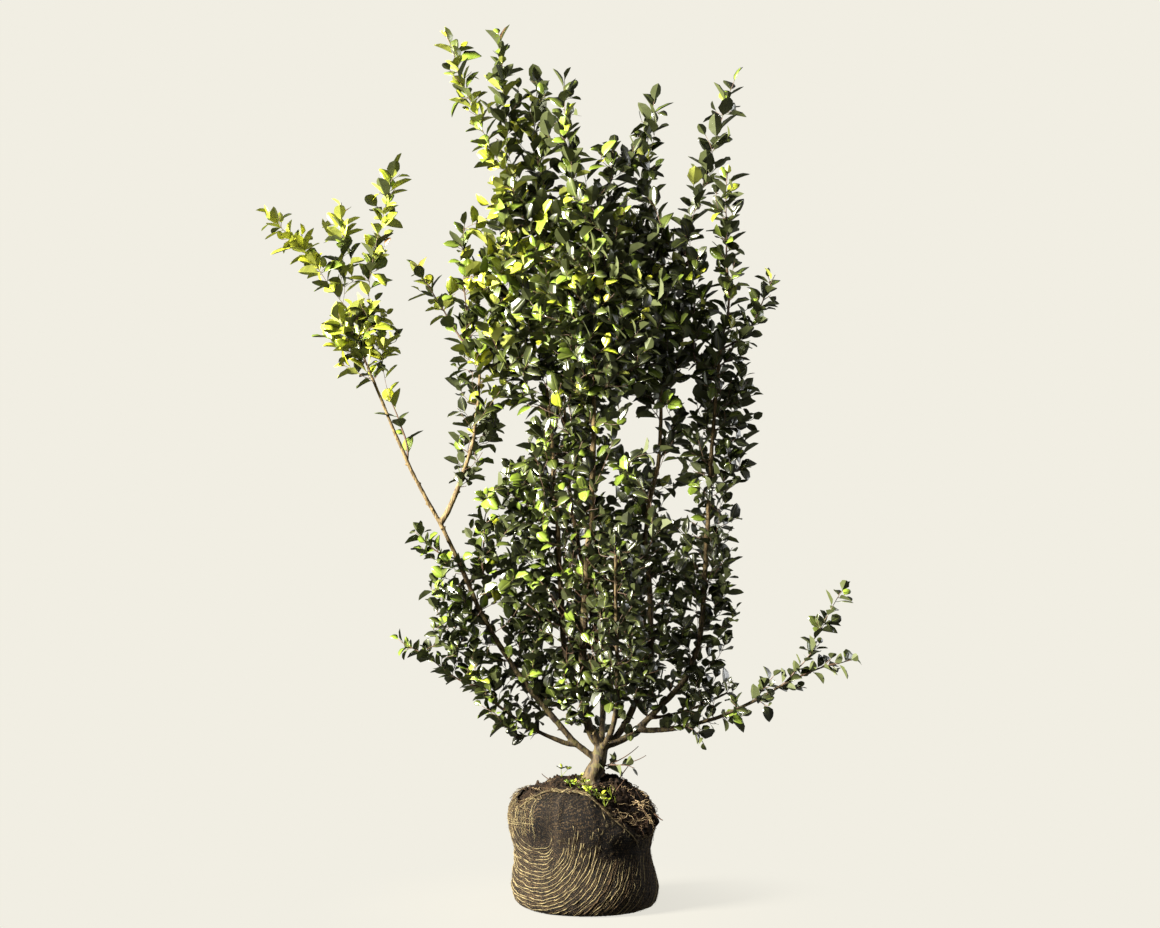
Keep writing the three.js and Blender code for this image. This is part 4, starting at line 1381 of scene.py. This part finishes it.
def soil_point(turn, rise, lift=0.0):
    """A point of the soil in a direction: the measured skin, with its mounds and hollows and crumbs."""
    reach = looked_up(SOIL_REACH, turn, rise)
    for at_turn, at_rise, (wide, high), size in MOUNDS:
        x = turn_from(turn, np.radians(at_turn)) * np.cos(rise) / np.radians(wide)
        y = (rise - np.radians(at_rise)) / np.radians(high)
        reach = reach + size * MM * np.exp(-x * x - y * y)
    reach = reach - UNDER_CLOTH * smooth_step(rim_at(turn) - rise, 0.03, 0.16)
    places = CENTRE + ways_at(turn, rise) * reach[..., None]
    broad = 3.4 * noise(places, 22 * MM, SEED + 40, 2)
    crumbs = 4.2 * (0.4 - np.abs(noise(places, 10 * MM, SEED + 41, 3)))
    crumbs = crumbs + 1.2 * noise(places, 3.2 * MM, SEED + 42, 2)
    return CENTRE + ways_at(turn, rise) * (reach + (broad + crumbs) * MM + lift)[..., None]


SOIL_COLUMNS, SOIL_ROWS = 330, 150
rise = np.radians(np.linspace(-18, 89.4, SOIL_ROWS))
turn = 2 * np.pi * np.arange(SOIL_COLUMNS) / SOIL_COLUMNS
rise, turn = np.meshgrid(rise, turn, indexing="ij")
soil_points = soil_point(turn, rise).reshape(-1, 3)

earth = Finish("dark_soil", tint("#20170f"), 0.95, Specular_IOR_Level=0.1)
place = earth.place()
lumps = earth.cloud(place, 7 * MM, 4, 0.65)
patches = earth.cloud(place, 30 * MM, 3)
dusty = earth.blend(lumps.between(0.42, 0.66), tint("#080401"), tint("#302418"))
earth.drive(Base_Color=earth.blend(patches.between(0.5, 0.68), dusty, tint("#170f08")))
earth.relief(lumps, 2.2 * MM)
ends = np.arange(SOIL_COLUMNS)
caps = np.stack([ends[::-1], ends + (SOIL_ROWS - 1) * SOIL_COLUMNS])
soil = piece("soil", soil_points, [grid_faces(SOIL_ROWS, SOIL_COLUMNS), caps], [earth])
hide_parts("root_ball_soil")


def bare_places(count, spread):
    """Directions of places where the soil is bare: above the rim, thinned by chance towards the rim."""
    turns = random.uniform(0, 2 * np.pi, count)
    rises = np.arcsin(random.uniform(0.1, 1, count))
    keep = rises > rim_at(turns) + spread
    return turns[keep], rises[keep]


def round_grid(rings, sides):
    """Points of a unit ball by rings, and its faces: the ends are closed by two small caps."""
    rise = np.linspace(-1.25, 1.25, rings)[:, None]
    turn = np.arange(sides)[None] * 2 * np.pi / sides
    points = ways_at(turn + 0 * rise, rise + 0 * turn).reshape(-1, 3)
    ends = np.arange(sides)
    return points, grid_faces(rings, sides), np.stack([ends[::-1], ends + (rings - 1) * sides])


CLODS = 1100
turns, rises = bare_places(CLODS, -0.02)
sizes = np.exp(random.normal(0.3, 0.6, len(turns))).clip(0.6, 5.5) * MM
middles = soil_point(turns, rises) + ways_at(turns, rises) * sizes[:, None] * 0.3
ball, quads, caps = round_grid(5, 7)
lumpy = ball[None] * sizes[:, None, None] * random.uniform(0.55, 1.3, (len(sizes), 1, 3))
own_place = ball[None] * 0.8 + 5 * np.arange(len(sizes))[:, None, None]
lumpy = lumpy * (1 + 0.5 * noise(own_place, 1.0, SEED + 43, 2))[..., None]
groups = repeated((quads, caps), len(sizes), len(ball))
faceted = np.zeros(sum(len(group) for group in groups), bool)
piece("clods", (middles[:, None] + lumpy).reshape(-1, 3), groups, [earth], smooth=faceted)

# %% Rootlets in the soil
ROOT_STEP, ROOT_POINTS = 1.6 * MM, 22
SHOULDER_ROOTS, TOP_ROOTS = 24, 16


def branching(turn, rise, heading, length, thick, depth=0):
    """A rootlet that wanders over the soil, with thinner ones branching off it: each step turns the
    heading a little at random. Gives a list of (path, radii)."""
    steps = max(8, int(length / ROOT_STEP))
    headings = heading + np.cumsum(random.normal(0, 0.13, steps))
    turns = turn + np.cumsum(np.cos(headings)) * ROOT_STEP / BALL_RADIUS
    rises = rise + np.cumsum(np.sin(headings)) * ROOT_STEP / (140 * MM)
    off = (1.0 + 3.2 * np.abs(np.sin(np.linspace(0, random.uniform(3, 8), steps)))) * MM
    path = as_path(soil_point(turns, rises, off), ROOT_POINTS)
    found = [(path, thick * np.linspace(1, 0.35, ROOT_POINTS))]
    if depth < 2:
        for start in random.integers(2, steps - 2, random.integers(1, 4)):
            side = headings[start] + random.choice([-1, 1]) * random.uniform(0.5, 1.1)
            shorter = length * random.uniform(0.3, 0.6)
            found += branching(turns[start], rises[start], side, shorter, thick * 0.65, depth + 1)
    return found


rootlets = []
for _ in range(SHOULDER_ROOTS):
    turn, rise = np.radians(random.uniform(282, 380)), np.radians(random.uniform(22, 50))
    rootlets += branching(turn, rise, random.uniform(-2.4, -0.2), random.uniform(25, 80) * MM, 0.7 * MM)
for _ in range(TOP_ROOTS):
    turn, rise = np.radians(random.uniform(0, 360)), np.radians(random.uniform(42, 75))
    rootlets += branching(turn, rise, random.uniform(0, 6.3), random.uniform(12, 30) * MM, 0.4 * MM)
ROOT_PALE = twisted("root_pale", "#93805f", "#55432d")
ROOT_BROWN = twisted("root_brown", "#4a3626", "#231810")
kinds = random.integers(0, 3, len(rootlets)) // 2
strands("rootlets", *zip(*rootlets), 4, [ROOT_PALE, ROOT_BROWN], kinds, "soil")

# %% [markdown]
# ## What has settled on the soil
# Weed seedlings and a few blades of grass have come up beside the trunk, and dry twigs stick out of
# the soil. The seedlings use the same leaf as the plant, only rounder.

# %% Seedlings, blades and dry twigs
def on_soil(x, y):
    """The place on the soil's surface above a point of the ground, found by repeated guesses."""
    turn, rise = np.arctan2(y - CENTRE[1], x - CENTRE[0]), np.array(1.0)
    for _ in range(12):
        reach = np.linalg.norm(soil_point(turn, rise) - CENTRE)
        level = np.clip(np.hypot(x - CENTRE[0], y - CENTRE[1]) / reach, 0, 0.99)
        rise = (rise + np.arccos(level)) / 2
    return soil_point(turn, rise)


SEEDLINGS = [(-23, -42), (-6, -62), (11, -70), (23, -66), (2, -48), (34, -74), (-40, 30)]  # in mm
GRASS_AT = np.array([51, -40])  # in mm
stalks, seed_leaves = [], []
for x, y in np.array(SEEDLINGS) * MM:
    foot = on_soil(x, y)
    for _ in range(random.integers(2, 4)):
        lean = unit(np.array([random.normal(0, 0.5), random.normal(-0.2, 0.4), 1.0]))
        top = foot + lean * random.uniform(7, 17) * MM
        stalks.append((bowed(foot, UP, top, UP, 8), np.linspace(0.6, 0.4, 8) * MM))
        for turn in random.uniform(0, 6.3) + np.arange(random.integers(3, 5)) * 1.7:
            out = ways_at(turn, 0.0)
            seed_leaves.append([*top, *lean, *out, 0.3, random.uniform(7, 12) * MM, 0])
seed_leaves = np.array(seed_leaves)
blades = []
for _ in range(9):
    foot = on_soil(*(GRASS_AT + random.normal(0, 7, 2)) * MM)
    tip = foot + np.array([random.normal(-6, 9), random.normal(-4, 6), random.uniform(10, 22)]) * MM
    blades.append((bowed(foot, UP, tip, -UP, 8), np.linspace(0.55, 0.12, 8) * MM))
SPROUT = Finish("sprout_green", tint("#6d7a1c"), 0.5)
strands("sprouts", *zip(*stalks, *blades), 5, [SPROUT], slot="leaf")
foliage("seedling_leaves", seed_leaves, random, random.integers(2, 5, len(seed_leaves)))

DRY = [  # where a dry twig starts and ends, in millimetres, and its thickness
    ((36, -4, 238), (91, -14, 272), 1.2), ((36, -2, 232), (104, -10, 256), 1.1),
    ((30, -22, 206), (6, -38, 196), 1.5), ((118, -20, 158), (132, -24, 148), 1.6),
    ((96, -48, 186), (86, -60, 204), 0.9), ((60, 40, 208), (78, 48, 236), 1.2),
    ((-52, 40, 204), (-74, 44, 218), 1.1), ((52, -52, 200), (66, -62, 222), 0.8),
]
dry = []
for start, end, thick in DRY:
    start, end = np.array(start) * MM, np.array(end) * MM
    path = bowed(start, unit(end - start) + random.normal(0, 0.3, 3), end, UP, 12)
    dry.append((path, thick * MM * np.linspace(1, 0.5, 12)))
strands("dry_twigs", *zip(*dry), 7, [ROOT_BROWN], slot="bark")

# %% [markdown]
# ## Trunk and boughs
# Where real limbs fork, their wood flows together: there is no seam, and each branch stands on a
# thickened collar. So all the limbs are laid down as overlapping tubes, with collars, root flares, buds
# and a broken stub, and one voxel remesh fuses them into a single skin. Smoothing rounds the forks.
# Bark is then modelled into that skin by noise stretched along the wood.

# %% The limbs fused into one skin
def collar(line, radii, more, reach):
    """Thickens the foot of a limb by a share that dies away with the distance along it."""
    return radii * (1 + more * np.exp(-run_of(line) / reach))


random = np.random.default_rng(SEED + 50)
raw = []
SLIMMER = {"bough_left": 0.68, "bough_right": 0.88}  # boughs that are thinner than their CAD nodes
FLARES = np.radians([15, 95, 160, 235, 300])
STUB_RADIUS, STUB_POINTS, STUB_HEIGHT = 5.2 * MM, 14, 0.272
STUB_REACH = np.array([-13, -8, 24]) * MM
for name, (line, radii) in limbs.items():
    own = collar(line, radii * SLIMMER.get(name, 1), 0.16 if name == "trunk" else 0.25, 12 * MM)
    wander = noise(line, 60 * MM, SEED + 51, 2) * 1.6 * MM * np.minimum(1, np.arange(len(line)) / 12)
    line = line + wander[:, None] * directions(line)[1]
    raw.append((line, own * (1 + 0.07 * noise(line, 18 * MM, SEED + 52, 2))))
trunk_line, trunk_radii = limbs["trunk"]
for turn in FLARES:
    out = ways_at(turn, 0.0)
    start = trunk_line[5] + out * trunk_radii[0] * 0.35
    end = trunk_line[0] + out * trunk_radii[0] * random.uniform(1.5, 2.0) + [0, 0, -2 * MM]
    raw.append((bowed(start, -UP, end, -UP, 12), np.linspace(0.42, 0.2, 12) * trunk_radii[0]))
centre_line, _ = limbs["bough_centre"]
stub_foot = centre_line[np.argmin(np.abs(centre_line[:, 2] - STUB_HEIGHT))]
stub_end = stub_foot + STUB_REACH
stub = bowed(stub_foot, UP, stub_end, UP, STUB_POINTS)
raw.append((stub, np.full(STUB_POINTS, STUB_RADIUS)))
for name, (line, radii) in limbs.items():
    for index in random.integers(6, len(line) - 2, max(2, len(line) // 12)):
        along, across, up = (way[index] for way in directions(line))
        turn = random.uniform(0, 2 * np.pi)
        out = unit(across * np.cos(turn) + up * np.sin(turn) + 0.5 * along)
        length = radii[index] + random.uniform(1.0, 3.2) * MM
        bud = line[index] + out * np.linspace(0, 1, 4)[:, None] * length
        raw.append((bud, np.linspace(0.55, 0.3, 4) * min(radii[index], 4 * MM)))

VOXEL = 1.5 * MM
SIDES = 14


def fused(parts):
    """The points and quads of one skin round many tubes, each given as its line and radii."""
    points, groups = merged([tubes(line[None], radii[None], SIDES) for line, radii in parts])
    mesh = bpy.data.meshes.new("wood_draft")
    polygons = [face for own in groups for faces in own for face in faces.tolist()]
    mesh.from_pydata(points.tolist(), [], polygons)
    draft = bpy.data.objects.new("wood_draft", mesh)
    SCENE.collection.objects.link(draft)
    fuse = draft.modifiers.new("fuse", "REMESH")
    fuse.mode = "VOXEL"
    fuse.voxel_size = VOXEL
    mesh = bpy.data.meshes.new_from_object(draft.evaluated_get(bpy.context.evaluated_depsgraph_get()))
    bpy.data.objects.remove(draft)
    return read(mesh.vertices, "co", 3), read(mesh.loops, "vertex_index", 1, int).reshape(-1, 4)


skin, skin_faces = fused(raw)
print(f"{len(raw)} parts fused into {len(skin)} points and {len(skin_faces)} quads")

# %% Rounded forks and bark relief
def sums(index, values, count):
    """The sum of the values that share an index."""
    return np.stack([np.bincount(index, column, count) for column in values.T], 1)


def smoothed(points, faces, rounds, strength):
    """Each point moves towards the mean of its neighbours, round after round."""
    a = faces.ravel()
    b = np.roll(faces, -1, axis=1).ravel()
    degree = np.bincount(a, minlength=len(points)) + np.bincount(b, minlength=len(points))
    for _ in range(rounds):
        total = sums(a, points[b], len(points)) + sums(b, points[a], len(points))
        points = points + strength * (total / degree[:, None] - points)
    return points


def normals(points, faces):
    """A unit normal for each point: the sum of its faces' diagonals' cross products."""
    across = np.cross(points[faces[:, 2]] - points[faces[:, 0]], points[faces[:, 3]] - points[faces[:, 1]])
    return unit(sums(faces.ravel(), np.repeat(across, 4, 0), len(points)))


def limb_radius_at(points):
    """For each point, how thick the nearest place of a limb is."""
    lines = np.vstack([line for line, _ in limbs.values()])
    radii = np.concatenate([radii for _, radii in limbs.values()])

    def nearest(part):
        return np.argmin(((part[:, None] - lines[None]) ** 2).sum(2), axis=1)

    return radii[in_parts(nearest, points, 3000)]


skin = smoothed(skin, skin_faces, 5, 0.5)
thickness = limb_radius_at(skin)
facing = normals(skin, skin_faces)
lost = np.clip(0.35 * MM * (5 * MM / np.maximum(thickness, 2 * MM)), 0, 0.5 * MM)  # taken by the smoothing
stretched = skin * [1, 1, 0.22]
ridges = 0.5 - np.abs(noise(stretched, 4.2 * MM, SEED + 53, 3))
knots = noise(skin, 15 * MM, SEED + 54, 2)
depth = np.clip(thickness / (12 * MM), 0.12, 1)
relief = lost + (0.9 * ridges + 0.8 * knots) * depth * MM
old_bark = Finish("old_bark", tint("#5f5433"), 0.8, Specular_IOR_Level=0.25)
bark_piece = piece("bark", skin + facing * relief[:, None], [skin_faces], [old_bark])
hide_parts(*WOOD)

# %% Bark colours and the broken stub
place = old_bark.place((1, 1, 0.18))
fibres = old_bark.cloud(place, 2.4 * MM, 4, 0.65)
cracks = old_bark.cloud(place, 6 * MM, 5, 0.7)
flecks = old_bark.cloud(old_bark.place(), 11 * MM, 4, 0.6)
height = old_bark.add("ShaderNodeSeparateXYZ", inputs={"Vector": old_bark.place()})
height = Value(old_bark, height.socket.node.outputs["Z"])
streaks = old_bark.blend((fibres + cracks).between(0.78, 1.26), tint("#120c06"), tint("#4d4027"))
mossy = old_bark.blend(flecks.between(0.5, 0.66) * 0.55, streaks, tint("#47441f"))
# Above the fork the bark is painted lighter and tan: painted light on the upper boughs.
upper = old_bark.blend(fibres.between(0.4, 0.6), tint("#3d3019"), tint("#7d6a45"))
# Low down the bark keeps its dark streaks and moss; higher up it takes the painted light.
mossy_and_painted_light = old_bark.blend(height.between(0.4, 0.7) * 0.75, mossy, upper)
old_bark.drive(Base_Color=mossy_and_painted_light, Roughness=fibres * 0.3 + 0.6)
old_bark.relief(fibres * 0.6 + cracks * 0.6, 0.9 * MM)

heart = Finish("broken_wood", tint("#b59e6c"), 0.8)
place = heart.place((1, 1, 0.3))
grain = heart.cloud(place, 1.6 * MM, 3).between(0.4, 0.6)
heart.drive(Base_Color=heart.blend(grain, tint("#8a7146"), tint("#c9b684")))
BREAK_SIDES = 24
turn = np.linspace(0, 2 * np.pi, BREAK_SIDES, endpoint=False)
rings = np.array([1.0, 0.75, 0.45, 0.15])[:, None]
_, across, up = (way[-1] for way in directions(stub))
flat = (np.cos(turn) * rings)[..., None] * across + (np.sin(turn) * rings)[..., None] * up
jagged = 1.6 * noise(flat, 0.35, SEED + 55, 2) + 3.0 * flat[..., 0]
top = stub_end + flat * STUB_RADIUS * 0.96 + jagged[..., None] * MM * [0.0, 0.0, 1.0] + [0, 0, 0.6 * MM]
root = stub_end + flat[:1] * STUB_RADIUS * 0.9 - [0, 0, 3 * MM]
break_points = np.concatenate([root, top]).reshape(-1, 3)
break_cap = (np.arange(BREAK_SIDES) + len(rings) * BREAK_SIDES)[None]
break_faces = [grid_faces(len(rings) + 1, BREAK_SIDES), break_cap]
piece("broken_end", break_points, break_faces, [heart])

# %% Finish
sizes = {"cad": CAD_BOX, "visual": [list(corner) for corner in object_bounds()]}
print(sizes)
